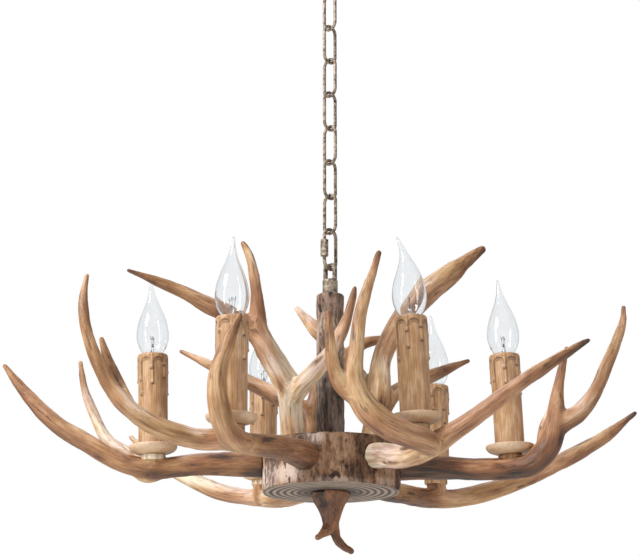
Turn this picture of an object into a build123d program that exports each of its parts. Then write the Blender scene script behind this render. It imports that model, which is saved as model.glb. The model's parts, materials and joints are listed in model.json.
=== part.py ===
from build123d import *

import os
from math import cos, radians, sin

from numpy import interp

# Antler chandelier: six antler arms with candle lamps round a log hub, hung on a chain.
# Millimetres, +Z up. The origin is the middle of the ceiling bracket, on the ceiling, and the
# lamp hangs below it. Antler forms are lofts through stations chosen along each beam and tine.

os.makedirs("parts", exist_ok=True)

# Ceiling fitting
canopy_radius = 60.0
canopy_height = 30.0
canopy_wall = 1.6
canopy_lip = 4.0
canopy_shoulder_radius = 51.6
canopy_shoulder_drop = 15.0
canopy_waist_radius = 36.0
canopy_waist_drop = 25.2
canopy_boss_radius = 14.0
bracket_length = 96.0
bracket_width = 18.0
bracket_thickness = 3.0
bracket_bolt_spacing = 70.0
bracket_bolt_hole_radius = 2.6
bracket_bush_radius = 8.0
bracket_bush_height = 7.0
loop_rod_radius = 5.0
collar_radius = 11.0
collar_height = 5.0
collar_chamfer = 1.2
loop_rod_gap = 1.0  # from the ceiling down to the end of the loop's rod
ceiling_loop_radius = 12.0
ceiling_loop_wire = 2.0
ceiling_loop_neck = 1.5  # from the collar down to the top of the loop's wire centre

# Chain, all of it at its real size: wires are given by radius, links by centre-line size
link_count = 8
link_wire = 1.75
link_half_width = 8.25
link_length = 42.8
quick_link_wire = 2.0
quick_link_half_width = 8.5
quick_link_length = 43.85
quick_link_gate = 9.0
sleeve_nut_radius = 4.3
sleeve_nut_length = 18.0
wire_sides = 6
link_gap = 0.3
link_turn = 45.0  # the links stand a quarter turn apart, half way round from the front

# Shackle and stem
shackle_bar = 3.5
shackle_window = 10.0
shackle_window_height = 13.8
shackle_base_radius = 8.0
shackle_base_height = 17.0
shackle_corner = 3.0
shackle_chamfer = 1.5
stem_radius = 14.5
stem_length = 159.0
stem_bore_clearance = 0.6
stem_edge = 1.0
tube_radius = 5.0
tube_bore = 3.5
tube_nut_radius = 9.0
tube_nut_height = 5.0
tube_grip = 6.0  # length held in the shackle and in the finial
thread_clearance = 0.05

# Hub
hub_radius = 71.5
hub_height = 50.0
hub_wall = 18.0
hub_top_plate = 14.0
hub_edge = 3.0
cover_lap = 6.5
cover_thickness = 6.0
cover_clearance = 0.3
pocket_depth = 2.5
pocket_clearance = 1.0
hole_clearance = 0.3
finial_collar_radius = 21.5
finial_collar_height = 6.0
finial_collar_taper = 1.5

# Fasteners and wiring inside the hub
arm_screw_radius = 3.0
arm_screw_head_radius = 5.8
arm_screw_head_height = 4.0
arm_screw_grip = 26.0
crown_screw_radius = 2.5
crown_screw_head_radius = 4.5
crown_screw_head_height = 3.5
crown_screw_grip = 22.0
crown_screw_margin = 2.0
terminal_size = (40.0, 16.0, 12.0)
terminal_hole_spacing = 10.0
terminal_row_spacing = 8.0
terminal_offset = 25.0
terminal_hole_radius = 1.8

# Candles
candle_circle = 182.0
arm_level = 25.0  # the middle of the arms above the hub's underside
boss_top = 14.0  # above the middle of the arms
boss_radius = 12.5
boss_depth = 22.0
pan_radius = 25.0
pan_foot_radius = 12.0
pan_height = 14.0
pan_floor = 8.0
pan_lip = 2.5
pan_bowl_inset = 4.0  # from the rim in to where the underside turns up
pan_bowl_height = 3.92
pan_rim_height = 4.2
pan_seat_margin = 1.5
nipple_radius = 5.0
nipple_depth = 9.0
sleeve_wall = 2.6
sleeve_length = 98.0
sleeve_lip = 4.8  # the rim's reach in over the socket
sleeve_lip_height = 3.0
sleeve_edge = 2.0
socket_radius = 12.2
socket_clearance = 0.5
sleeve_radius = socket_radius + socket_clearance + sleeve_wall
socket_top_gap = 6.0
socket_bore_depth = 26.0
cap_radius = 6.75
cap_length = 23.0
cap_tip_radius = 3.0
cap_tip_height = 2.0
bulb_clearance = 0.3
bulb_radius = 17.5
# Heights of the bulb's glass are above the candle's rim
bulb_height = 86.0
bulb_flare = 11.6
bulb_flare_radius = 14.0
bulb_belly = 29.0
bulb_waist = 49.88
bulb_waist_radius = 15.05
bulb_shoulder = 68.8
bulb_shoulder_radius = 7.0
bulb_neck_radius = 6.3
bulb_tip_radius = 1.2
glass_wall = 0.9

# Antlers
antler_ridges = 8  # round each section
section_spacing = 24.0
fewest_sections = 4
steep_start = 0.9  # a branch whose heading rises more than this starts with level sections
tip_bluntness = 1.0

# The finial's turned trunk, as radius and drop below its waist, and its two tines, as offsets
# along X and Y, height over the waist and radius
finial_trunk = [(13, 11), (8, 22), (6, 33)]
finial_long_tine = [(0, 0, -28, 6), (2, -1, -38, 5.4), (8, -3, -50, 3.8), (22, -4, -56, 1)]
finial_short_tine = [(0, 0, -24, 5), (-8, 0, -33, 4), (-15, 0, -41, 1)]

# Heights, worked down from the ceiling
collar_bottom = -canopy_height - collar_height
ceiling_loop_centre = collar_bottom - ceiling_loop_neck - ceiling_loop_radius
chain_anchor = ceiling_loop_centre - ceiling_loop_radius


def crown_below(anchor, upper_wire, lower_wire):
    """Height of a hanging loop's top wire centre over the wire it hangs on."""
    return anchor + upper_wire + lower_wire + link_gap


# Each entry is the wire centre at the foot of a link: the pivot of the piece below it
link_feet = []
link_tops = []
foot = chain_anchor
upper_wire = ceiling_loop_wire
for _ in range(link_count):
    top = crown_below(foot, upper_wire, link_wire)
    foot = top - link_length
    upper_wire = link_wire
    link_tops.append(top)
    link_feet.append(foot)
quick_link_top = crown_below(foot, link_wire, quick_link_wire)
quick_link_foot = quick_link_top - quick_link_length
shackle_bar_bottom = quick_link_foot + quick_link_wire + link_gap
shackle_base_top = shackle_bar_bottom - shackle_window_height
stem_top = shackle_base_top - shackle_base_height
hub_top = stem_top - stem_length
hub_bottom = hub_top - hub_height
arm_height = hub_bottom + arm_level
seat_radius = hub_radius - pocket_depth
cavity_radius = hub_radius - hub_wall
cavity_top = hub_top - hub_top_plate
cover_top = hub_bottom + cover_thickness
finial_waist = hub_bottom - finial_collar_height
tube_bottom = finial_waist - tube_grip
tube_top = stem_top + tube_grip

# Arms. azimuth is the candle's direction, butt the direction of the antler's sawn butt, both
# in degrees from +X. reach is added to the candle circle, and lean tips the candle sideways.
# Stations up to the candle give the share of the way from hub to candle, the offset to the
# left, the rise over the middle of the arms and the radius. Stations past the candle, and
# those of tines, give the distance out from the candle in place of the share.
arms = {
    "arm_left": {
        "azimuth": 180.0,
        "butt": 180.0,
        "reach": 0.0,
        "lean": -1.7,
        "inward": [(0, 0, 4, 14), (0.39, -1, 5, 12.3), (0.7, 0, 3, 11.3)],
        "outward": [
            (3, 0, 0, 11.3),
            (34, -3, 8, 10),
            (66, -6, 26, 10),
            (99, -12, 46, 9.3),
            (130, -18, 75, 7.5),
            (150, -21, 99, 4.5),
            (164, -23, 117, 1),
        ],
        "tines": [
            [(-12, -6, 0, 9), (7, -18, 0, 12), (33, -40, 22, 9.4), (56, -50, 42, 6.3),
             (70, -61, 70, 5.8), (82, -65, 100, 4.2), (88, -66, 132, 1)],
        ],
    },
    "arm_front_left": {
        "azimuth": -121.0,
        "butt": -111.5,
        "reach": 1.0,
        "lean": -0.5,
        "inward": [(0, 0, 2, 15), (0.25, 3, 3, 13.5), (0.58, 7, 1, 11.5), (0.83, 7, -1, 10.5)],
        "outward": [
            (4, -1, 0, 11.3),
            (24, -19, -1, 10.3),
            (57, -42, 7, 9.8),
            (82, -64, 26, 8.3),
            (94, -81, 55, 7),
            (100, -96, 92, 6),
            (98, -105, 130, 4.6),
            (91, -106, 159, 1),
        ],
        "tines": [
            [(78, -58, 20, 6), (74, -78, 52, 4.7), (73, -97, 84, 4.5), (74, -102, 100, 1)],
            [(-12, 10, -2, 9), (14, 14, -3, 12), (35, 17, 4, 11.6), (46, 16, 26, 10.3),
             (46, 15, 54, 9), (38, 20, 84, 7), (28, 29, 116, 1)],
        ],
    },
    "arm_front_right": {
        "azimuth": -63.0,
        "butt": -57.4,
        "reach": -5.0,
        "lean": -2.3,
        "inward": [(0, 0, 3, 13), (0.5, 9, -5, 12), (0.89, 15, -6, 10.5)],
        "outward": [
            (10, 19, -1, 11),
            (31, 29, 9, 8.6),
            (63, 53, 33, 8),
            (89, 82, 58, 6.5),
            (106, 110, 78, 4.2),
            (113, 125, 88, 1),
        ],
        "tines": [
            [(-2, 17, -6, 9), (16, 2, -4, 11.4), (20, -24, 0, 12.1), (17, -45, 9, 13),
             (12, -62, 25, 13), (9, -71, 48, 10), (10, -69, 78, 7.2), (8, -64, 112, 6.3),
             (5, -51, 150, 4.8), (3, -39, 182, 1)],
            [(11, -64, 26, 9), (3, -84, 47, 7.4), (4, -92, 70, 6), (4, -94, 95, 4.2),
             (3, -95, 117, 1)],
        ],
    },
    "arm_right": {
        "azimuth": 0.0,
        "butt": 0.0,
        "reach": 3.0,
        "lean": -1.9,
        "inward": [(0, 0, 1, 13.3), (0.37, 0, 1, 12.3), (0.73, -2, -1, 11.3)],
        "outward": [
            (0, -5, 0, 12.3),
            (18, -11, 2, 12),
            (37, -18, 20, 12.4),
            (44, -21, 42, 11.5),
            (46, -23, 62, 8.2),
            (49, -26, 84, 5.2),
            (53, -28, 103, 4.6),
            (59, -30, 124, 1),
        ],
        "tines": [
            [(40, -18, 32, 10), (52, -20, 44, 11), (68, -20, 53, 9.2), (84, -16, 72, 7.7),
             (103, -8, 110, 6.7), (114, -3, 134, 5.5), (123, 3, 160, 3.6), (125, 6, 177, 1)],
            [(34, -14, 24, 9), (36, -6, 42, 7), (41, -8, 58, 4.5), (44, -14, 70, 2)],
        ],
    },
    "arm_back_right": {
        "azimuth": 52.0,
        "butt": 52.0,
        "reach": 9.0,
        "lean": 0.0,
        "inward": [(0, 0, -12, 10.5), (0.46, 2, -10, 10.8)],
        "outward": [
            (-8, 3, -8, 11),
            (29, -12, -4, 10.6),
            (55, -35, 5, 10.5),
            (76, -62, 17, 10),
            (100, -113, 41, 9),
            (111, -150, 60, 7.6),
            (120, -190, 87, 1),
        ],
        "tines": [],
    },
    "arm_back_left": {
        "azimuth": 115.0,
        "butt": 107.7,
        "reach": -7.0,
        "lean": 0.0,
        "inward": [(0, 0, -12, 9.6), (0.57, -3, -11, 10.9)],
        "outward": [
            (-2, -2, -6, 10.5),
            (28, 10, -1, 9),
            (59, 28, 8, 9.6),
            (91, 58, 29, 9),
            (112, 88, 50, 7.5),
            (130, 115, 79, 1),
        ],
        "tines": [],
    },
}

# Crown antlers stand on the hub. azimuth and inset place the base in from the hub's edge.
# Stations give the offsets along X and Y from the base, the height over the hub and the radius.
crowns = {
    "crown_front": {
        "azimuth": -136.0,
        "inset": 18.5,
        "trunk": [(0, 0, 0, 12.5), (-2, -9, 27, 12), (-3, -15, 46, 14), (-13, -23, 64, 13),
                  (-26, -31, 84, 12.5), (-35, -35, 104, 11), (-36, -39, 124, 7.6),
                  (-38, -42, 150, 5.6), (-45, -45, 180, 5), (-53, -45, 196, 1)],
        "tines": [
            [(-27, -31, 84, 10), (-40, -35, 102, 10.5), (-58, -39, 114, 10), (-83, -47, 125, 8.7),
             (-113, -55, 139, 6.8), (-143, -61, 150, 4.3), (-168, -65, 159, 1)],
            [(-2, -13, 36, 11), (9, -27, 48, 10), (22, -41, 59, 9), (39, -61, 77, 7.4),
             (50, -71, 96, 6), (59, -75, 124, 4), (63, -75, 141, 1)],
        ],
    },
    "crown_right": {
        "azimuth": 10.5,
        "inset": 27.8,
        "trunk": [(0, 0, 0, 13), (3, 2, 20, 12.5), (7, 6, 50, 13.5), (12, 22, 97, 10.6),
                  (27, 36, 133, 11.8), (60, 52, 176, 14), (95, 64, 208, 12),
                  (109, 69, 219, 8.5), (132, 76, 238, 1)],
        "tines": [
            [(6, 4, 26, 9), (24, 26, 60, 8.4), (44, 42, 75, 8.5), (68, 62, 89, 7.6),
             (88, 80, 101, 5), (113, 96, 114, 1)],
            [(5, 6, 42, 8), (-11, 24, 78, 8.5), (-27, 32, 99, 8.5), (-56, 40, 132, 8.6),
             (-70, 44, 148, 5.4), (-82, 46, 163, 1)],
        ],
    },
    "crown_back": {
        "azimuth": 116.6,
        "inset": 26.8,
        "trunk": [(0, 0, 0, 9), (0, 2, 25, 8), (-4, 7, 41, 9), (-14, 13, 51, 9.6),
                  (-34, 24, 63, 9.7), (-56, 38, 77, 8.7), (-83, 52, 93, 7.6),
                  (-117, 66, 111, 5.5), (-149, 76, 128, 1)],
        "tines": [
            [(-1, 4, 34, 7), (7, 14, 69, 8.5), (23, 22, 95, 8.6), (42, 30, 114, 7.6),
             (58, 38, 126, 6.5), (75, 46, 132, 5.2), (97, 56, 138, 1)],
        ],
    },
}


def around_axis(radius, azimuth, height):
    """Point at a radius and direction round the lamp's axis."""
    return Vector(radius * cos(radians(azimuth)), radius * sin(radians(azimuth)), height)


def grow(stations, heading=None):
    """Add one tapering stretch of antler that passes through (point, radius) stations."""
    points = [point for point, _ in stations]
    radii = [max(radius, tip_bluntness) for _, radius in stations]
    start = heading or (points[1] - points[0]).normalized()
    finish = (points[-1] - points[-2]).normalized()
    with BuildLine(mode=Mode.PRIVATE):
        centre = Spline(*points, tangents=[start, finish])
    marks = [centre.param_at_point(point) for point in points]
    count = max(fewest_sections, round(centre.length / section_spacing))
    across = start.cross(Vector(0, 0, 1)) if abs(start.Z) < steep_start else Vector(0, 1, 0)
    sections = []
    for step in range(count + 1):
        share = step / count
        along = centre % share
        # Each section starts from the one before it, so that the ridges run without a twist
        across = (across - along * across.dot(along)).normalized()
        radius = float(interp(share, marks, radii))
        with BuildSketch(Plane(origin=centre @ share, x_dir=across, z_dir=along)) as section:
            RegularPolygon(radius, antler_ridges)
        sections.append(section.sketch)
    loft(sections=sections, ruled=True)


def candle_plane(arm):
    """The plane under an arm's pan, tipped by the candle's lean."""
    centre = around_axis(candle_circle + arm["reach"], arm["azimuth"], arm_height + boss_top)
    return Plane(origin=centre).rotated((0, arm["lean"], 0))


def seat_plane(arm):
    """The flat seat of an arm's butt on the hub, facing outwards."""
    height = arm_height + arm["inward"][0][2]
    centre = around_axis(seat_radius, arm["butt"], height)
    return Plane(origin=centre, x_dir=(0, 0, 1), z_dir=around_axis(1, arm["butt"], 0))


def arm_point(arm, out, side, rise):
    """Point given by its distance out from the candle, its offset and its rise."""
    radius = candle_circle + arm["reach"] + out
    left = around_axis(side, arm["azimuth"] + 90, 0)
    return around_axis(radius, arm["azimuth"], arm_height + rise) + left


def inward_stations(arm):
    """Stations between the hub's seat and the candle."""
    candle = around_axis(candle_circle + arm["reach"], arm["azimuth"], arm_height)
    seat = around_axis(seat_radius, arm["butt"], arm_height)
    stations = []
    for share, side, rise, radius in arm["inward"]:
        left = around_axis(side, arm["azimuth"] + 90, 0)
        point = seat + (candle - seat) * share + left + Vector(0, 0, rise)
        stations.append((point, radius))
    return stations


def save(part, name):
    """Label a finished piece and write it to its own file."""
    part.label = name
    export_step(part, f"parts/{name}.step")


# Ceiling fitting ---------------------------------------------------------------------------
with BuildPart() as canopy:
    with BuildSketch(Plane.XZ):
        with BuildLine():
            Polyline(
                (0, 0), (canopy_radius, 0), (canopy_radius, -canopy_lip),
                (canopy_shoulder_radius, -canopy_shoulder_drop),
                (canopy_waist_radius, -canopy_waist_drop),
                (canopy_boss_radius, -canopy_height), (0, -canopy_height), close=True,
            )
        make_face()
    revolve(axis=Axis.Z)
    open_side = canopy.faces().sort_by(Axis.Z)[-1]
    offset(amount=-canopy_wall, openings=open_side)
    with Locations((0, 0, -canopy_height)):
        Hole(loop_rod_radius + hole_clearance, depth=4 * canopy_wall)
save(canopy.part, "canopy")

with BuildPart() as canopy_bracket:
    with BuildSketch():
        SlotOverall(bracket_length, bracket_width)
    extrude(amount=-bracket_thickness)
    with BuildSketch(Plane.XY.offset(-bracket_thickness)):
        Circle(bracket_bush_radius)
    extrude(amount=-bracket_bush_height)
    Hole(loop_rod_radius + thread_clearance)
    with GridLocations(bracket_bolt_spacing, 0, 2, 1):
        Hole(bracket_bolt_hole_radius)
save(canopy_bracket.part, "canopy_bracket")

with BuildPart() as canopy_collar:
    with BuildSketch(Plane.XY.offset(-canopy_height)):
        Circle(collar_radius)
        Circle(loop_rod_radius + thread_clearance, mode=Mode.SUBTRACT)
    extrude(amount=-collar_height)
    rim = canopy_collar.faces().sort_by(Axis.Z)[0].outer_wire().edges()
    chamfer(rim, length=collar_chamfer)
save(canopy_collar.part, "canopy_collar")

with BuildPart() as canopy_loop:
    ring_face = Plane(origin=(ceiling_loop_radius, 0, ceiling_loop_centre), z_dir=(0, 0, 1))
    with BuildSketch(ring_face):
        RegularPolygon(ceiling_loop_wire, wire_sides)
    revolve(axis=Axis((0, 0, ceiling_loop_centre), (0, 1, 0)))
    neck = ceiling_loop_centre + ceiling_loop_radius - ceiling_loop_wire / 2
    with BuildSketch(Plane.XY.offset(neck)):
        Circle(loop_rod_radius)
    extrude(amount=-neck - loop_rod_gap)
canopy_loop_part = canopy_loop.part.rotate(Axis.Z, -link_turn)
save(canopy_loop_part, "canopy_loop")


# Chain -------------------------------------------------------------------------------------
def wire_loop(wire, half_width, length):
    """Add a long link in the XZ plane, its top wire centre at the origin."""
    straight = length - 2 * half_width
    with BuildSketch(Plane(origin=(half_width, 0, -half_width))) as section:
        RegularPolygon(wire, wire_sides)
    revolve(section.sketch, axis=Axis((0, 0, -half_width), (0, 1, 0)), revolution_arc=-180)
    extrude(section.sketch, amount=-straight / 2)
    mirror(about=Plane.XY.offset(-length / 2))
    mirror(about=Plane.YZ)


with BuildPart() as link:
    wire_loop(link_wire, link_half_width, link_length)

for number, top in enumerate(link_tops, start=1):
    turn = link_turn if number % 2 else -link_turn
    with BuildPart() as chain_link:
        with Locations(Location((0, 0, top), (0, 0, turn))):
            add(link.part)
    save(chain_link.part, f"chain_link_{number}")

quick_link_place = Location((0, 0, quick_link_top), (0, 0, link_turn))
gate_centre = (-quick_link_half_width, 0, -quick_link_length / 2)
with BuildPart() as quick_link_form:
    wire_loop(quick_link_wire, quick_link_half_width, quick_link_length)
    with Locations(gate_centre):
        Box(3 * quick_link_wire, 3 * quick_link_wire, quick_link_gate, mode=Mode.SUBTRACT)

with BuildPart() as sleeve_nut_form:
    with BuildSketch(Plane(origin=gate_centre)):
        RegularPolygon(sleeve_nut_radius, 6)
        Circle(quick_link_wire + 2 * thread_clearance, mode=Mode.SUBTRACT)
    extrude(amount=sleeve_nut_length / 2, both=True)

for form, name in ((quick_link_form, "quick_link"), (sleeve_nut_form, "quick_link_sleeve")):
    with BuildPart() as placed:
        with Locations(quick_link_place):
            add(form.part)
    save(placed.part, name)

# Shackle, stem and centre tube ---------------------------------------------------------------
with BuildPart() as shackle:
    with BuildSketch(Plane.XY.offset(stem_top)):
        Circle(shackle_base_radius)
    extrude(amount=shackle_base_height)
    chamfer(shackle.edges().group_by(Axis.Z)[-1], length=shackle_chamfer)
    frame_height = shackle_window_height + shackle_bar
    with BuildSketch(Plane.XZ.offset(-shackle_bar / 2)):
        with Locations((0, shackle_base_top + (frame_height - shackle_bar) / 2)):
            RectangleRounded(
                shackle_window + 2 * shackle_bar, frame_height + shackle_bar, shackle_corner
            )
        with Locations((0, shackle_base_top + shackle_window_height / 2)):
            Rectangle(shackle_window, shackle_window_height, mode=Mode.SUBTRACT)
    extrude(amount=shackle_bar)
    with Locations(Location((0, 0, stem_top), (180, 0, 0))):
        Hole(tube_radius + thread_clearance, depth=tube_top - stem_top + 1)
save(shackle.part.rotate(Axis.Z, -link_turn), "shackle")

with BuildPart() as stem:
    with BuildSketch(Plane.XY.offset(hub_top)):
        Circle(stem_radius)
        Circle(tube_radius + stem_bore_clearance, mode=Mode.SUBTRACT)
    extrude(amount=stem_length)
    chamfer(stem.faces().sort_by(Axis.Z)[-1].outer_wire().edges(), length=stem_edge)
save(stem.part, "stem")

with BuildPart() as centre_tube:
    with BuildSketch(Plane.XY.offset(tube_bottom)):
        Circle(tube_radius)
        Circle(tube_bore, mode=Mode.SUBTRACT)
    extrude(amount=tube_top - tube_bottom)
save(centre_tube.part, "centre_tube")

with BuildPart() as tube_nuts:
    for height in (cavity_top - tube_nut_height, cover_top):
        with BuildSketch(Plane.XY.offset(height)):
            RegularPolygon(tube_nut_radius, 6)
            Circle(tube_radius + thread_clearance, mode=Mode.SUBTRACT)
        extrude(amount=tube_nut_height)
save(tube_nuts.part, "tube_nuts")

# Hub -----------------------------------------------------------------------------------------
# Each crown antler's screw stands under the middle of its base, or as near as its head can
screw_limit = cavity_radius - crown_screw_head_radius - crown_screw_margin
crown_seats = {}
crown_screw_spots = {}
for name, crown in crowns.items():
    reach = hub_radius - crown["inset"]
    crown_seats[name] = around_axis(reach, crown["azimuth"], hub_top)
    crown_screw_spots[name] = around_axis(min(reach, screw_limit), crown["azimuth"], cavity_top)

with BuildPart() as hub:
    with BuildSketch(Plane.XY.offset(hub_bottom)):
        Circle(hub_radius)
    extrude(amount=hub_height)
    chamfer(hub.edges(), length=hub_edge)
    with BuildSketch(Plane.XY.offset(hub_bottom)):
        Circle(cavity_radius)
    extrude(amount=hub_height - hub_top_plate, mode=Mode.SUBTRACT)
    with BuildSketch(Plane.XY.offset(hub_bottom)):
        Circle(cavity_radius + cover_lap)
    extrude(amount=cover_thickness, mode=Mode.SUBTRACT)
    with Locations((0, 0, hub_top)):
        Hole(tube_radius + hole_clearance, depth=hub_top_plate + 1)
    for arm in arms.values():
        seat = seat_plane(arm)
        pocket_radius = arm["inward"][0][3] + pocket_clearance
        with BuildSketch(seat):
            Circle(pocket_radius)
        extrude(amount=3 * pocket_depth, mode=Mode.SUBTRACT)
        with BuildSketch(seat):
            Circle(arm_screw_radius + hole_clearance)
        extrude(amount=-hub_wall, mode=Mode.SUBTRACT)
    for spot in crown_screw_spots.values():
        with BuildSketch(Plane(origin=spot)):
            Circle(crown_screw_radius + hole_clearance)
        extrude(amount=hub_top_plate, mode=Mode.SUBTRACT)
save(hub.part, "hub")

with BuildPart() as hub_cover:
    with BuildSketch(Plane.XY.offset(hub_bottom)):
        Circle(cavity_radius + cover_lap - cover_clearance)
        Circle(tube_radius + hole_clearance, mode=Mode.SUBTRACT)
    extrude(amount=cover_thickness)
save(hub_cover.part, "hub_cover")

with BuildPart() as finial:
    with BuildSketch(Plane.XZ):
        with BuildLine():
            collar = Polyline(
                (0, hub_bottom), (finial_collar_radius, hub_bottom),
                (finial_collar_radius - finial_collar_taper, finial_waist),
            )
            trunk = Spline(
                collar @ 1,
                *[(radius, finial_waist - drop) for radius, drop in finial_trunk],
            )
            Polyline(trunk @ 1, (0, (trunk @ 1).Y), (0, hub_bottom))
        make_face()
    revolve(axis=Axis.Z)
    for tine in (finial_long_tine, finial_short_tine):
        grow([(Vector(x, y, finial_waist + z), radius) for x, y, z, radius in tine])
    with Locations(Location((0, 0, hub_bottom), (180, 0, 0))):
        Hole(tube_radius + thread_clearance, depth=hub_bottom - tube_bottom + 1)
save(finial.part, "finial")

with BuildPart() as terminal_block:
    with Locations((0, -terminal_offset, cover_top)):
        Box(*terminal_size, align=(Align.CENTER, Align.CENTER, Align.MIN))
    with Locations((0, -terminal_offset, cover_top + terminal_size[2])):
        with GridLocations(terminal_hole_spacing, terminal_row_spacing, 3, 2):
            Hole(terminal_hole_radius, depth=terminal_size[2] / 2)
save(terminal_block.part, "terminal_block")

# A hexagon head flush on a round wall stands in by the wall's own curve
head_seat = (cavity_radius**2 - arm_screw_head_radius**2) ** 0.5 - thread_clearance
with BuildPart() as arm_screws:
    for arm in arms.values():
        outward = seat_plane(arm)
        with BuildSketch(outward.offset(head_seat - seat_radius)):
            RegularPolygon(arm_screw_head_radius, 6)
        extrude(amount=-arm_screw_head_height)
        with BuildSketch(outward.offset(head_seat - seat_radius)):
            Circle(arm_screw_radius)
        extrude(amount=seat_radius - head_seat + arm_screw_grip)
save(arm_screws.part, "arm_screws")

with BuildPart() as crown_screws:
    for spot in crown_screw_spots.values():
        with BuildSketch(Plane(origin=spot)):
            RegularPolygon(crown_screw_head_radius, 6)
        extrude(amount=-crown_screw_head_height)
        with BuildSketch(Plane(origin=spot)):
            Circle(crown_screw_radius)
        extrude(amount=hub_top_plate + crown_screw_grip)
save(crown_screws.part, "crown_screws")

# Antlers -------------------------------------------------------------------------------------
for name, arm in arms.items():
    beam = inward_stations(arm)
    beam += [(arm_point(arm, out, side, rise), r) for out, side, rise, r in arm["outward"]]
    with BuildPart() as antler:
        grow(beam, heading=around_axis(1, arm["butt"], 0))
        for tine in arm["tines"]:
            grow([(arm_point(arm, out, side, rise), r) for out, side, rise, r in tine])
        with BuildSketch(candle_plane(arm)):
            Circle(boss_radius)
        extrude(amount=-boss_depth)
        with BuildSketch(candle_plane(arm)):
            Circle(nipple_radius + thread_clearance)
        extrude(amount=-nipple_depth - 1, mode=Mode.SUBTRACT)
        with BuildSketch(seat_plane(arm)):
            Circle(arm_screw_radius + thread_clearance)
        extrude(amount=arm_screw_grip + 1, mode=Mode.SUBTRACT)
    save(antler.part, name)

for name, crown in crowns.items():
    seat = crown_seats[name]
    trunk = [(seat + Vector(x, y, z), r) for x, y, z, r in crown["trunk"]]
    screw_top = crown_screw_spots[name] + Vector(0, 0, hub_top_plate)
    with BuildPart() as antler:
        grow(trunk, heading=Vector(0, 0, 1))
        for tine in crown["tines"]:
            grow([(seat + Vector(x, y, z), r) for x, y, z, r in tine])
        with BuildSketch(Plane(origin=screw_top)):
            Circle(crown_screw_radius + thread_clearance)
        extrude(amount=crown_screw_grip + 1, mode=Mode.SUBTRACT)
    save(antler.part, name)

# Candles, each about its own foot on the arm's boss ----------------------------------------------
rim = pan_floor + sleeve_length
socket_top = rim - socket_top_gap
socket_floor = socket_top - socket_bore_depth
cap_bottom = socket_floor + bulb_clearance
cap_top = cap_bottom + cap_length

with BuildPart() as pan:
    with BuildSketch(Plane.XZ):
        with BuildLine():
            Polyline(
                (nipple_radius + hole_clearance, 0), (pan_foot_radius, 0),
                (pan_radius - pan_bowl_inset, pan_bowl_height),
                (pan_radius, pan_height - pan_rim_height),
                (pan_radius, pan_height), (pan_radius - pan_lip, pan_height),
                (sleeve_radius + pan_seat_margin, pan_floor),
                (nipple_radius + hole_clearance, pan_floor), close=True,
            )
        make_face()
    revolve(axis=Axis.Z)

with BuildPart() as sleeve:
    with BuildSketch(Plane.XZ):
        inner = sleeve_radius - sleeve_wall
        Polygon(
            (inner, pan_floor), (sleeve_radius, pan_floor), (sleeve_radius, rim - sleeve_edge),
            (sleeve_radius - sleeve_edge, rim), (sleeve_radius - sleeve_lip, rim),
            (sleeve_radius - sleeve_lip, rim - sleeve_lip_height),
            (inner, rim - sleeve_lip_height),
            align=None,
        )
    revolve(axis=Axis.Z)

with BuildPart() as nipple:
    with BuildSketch(Plane.XY.offset(-nipple_depth)):
        Circle(nipple_radius)
    extrude(amount=nipple_depth + pan_floor)

with BuildPart() as socket:
    with BuildSketch(Plane.XY.offset(pan_floor)):
        Circle(socket_radius)
    extrude(amount=socket_top - pan_floor)
    with Locations((0, 0, socket_top)):
        Hole(cap_radius + bulb_clearance, depth=socket_bore_depth)

with BuildPart() as bulb_cap:
    with BuildSketch(Plane.XY.offset(cap_bottom)):
        Circle(cap_tip_radius)
    extrude(amount=cap_tip_height)
    with BuildSketch(Plane.XY.offset(cap_bottom + cap_tip_height)):
        Circle(cap_radius)
    extrude(amount=cap_length - cap_tip_height)

with BuildPart() as bulb_glass:
    tip = rim + bulb_height
    with BuildSketch(Plane.XZ):
        with BuildLine():
            Polyline(
                (0, cap_top), (bulb_neck_radius, cap_top), (bulb_neck_radius, rim),
                (bulb_flare_radius, rim + bulb_flare), (bulb_radius, rim + bulb_belly),
                (bulb_waist_radius, rim + bulb_waist), (bulb_shoulder_radius, rim + bulb_shoulder),
                (bulb_tip_radius, tip), (0, tip), close=True,
            )
        make_face()
        offset(amount=-glass_wall, kind=Kind.INTERSECTION, mode=Mode.SUBTRACT)
    revolve(axis=Axis.Z)

numbered = {"candle_pan": pan, "candle_sleeve": sleeve, "bulb_glass": bulb_glass, "bulb_cap": bulb_cap}
for number, arm in enumerate(arms.values(), start=1):
    for name, form in numbered.items():
        with BuildPart() as placed:
            with Locations(candle_plane(arm).location):
                add(form.part)
        save(placed.part, f"{name}_{number}")

candle_places = [candle_plane(arm).location for arm in arms.values()]
for name, form in (("candle_nipples", nipple), ("lamp_sockets", socket)):
    with BuildPart() as group:
        with Locations(*candle_places):
            add(form.part)
    save(group.part, name)
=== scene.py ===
import json
import math

import bpy
import numpy as np
from mathutils import Matrix, Vector


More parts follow.
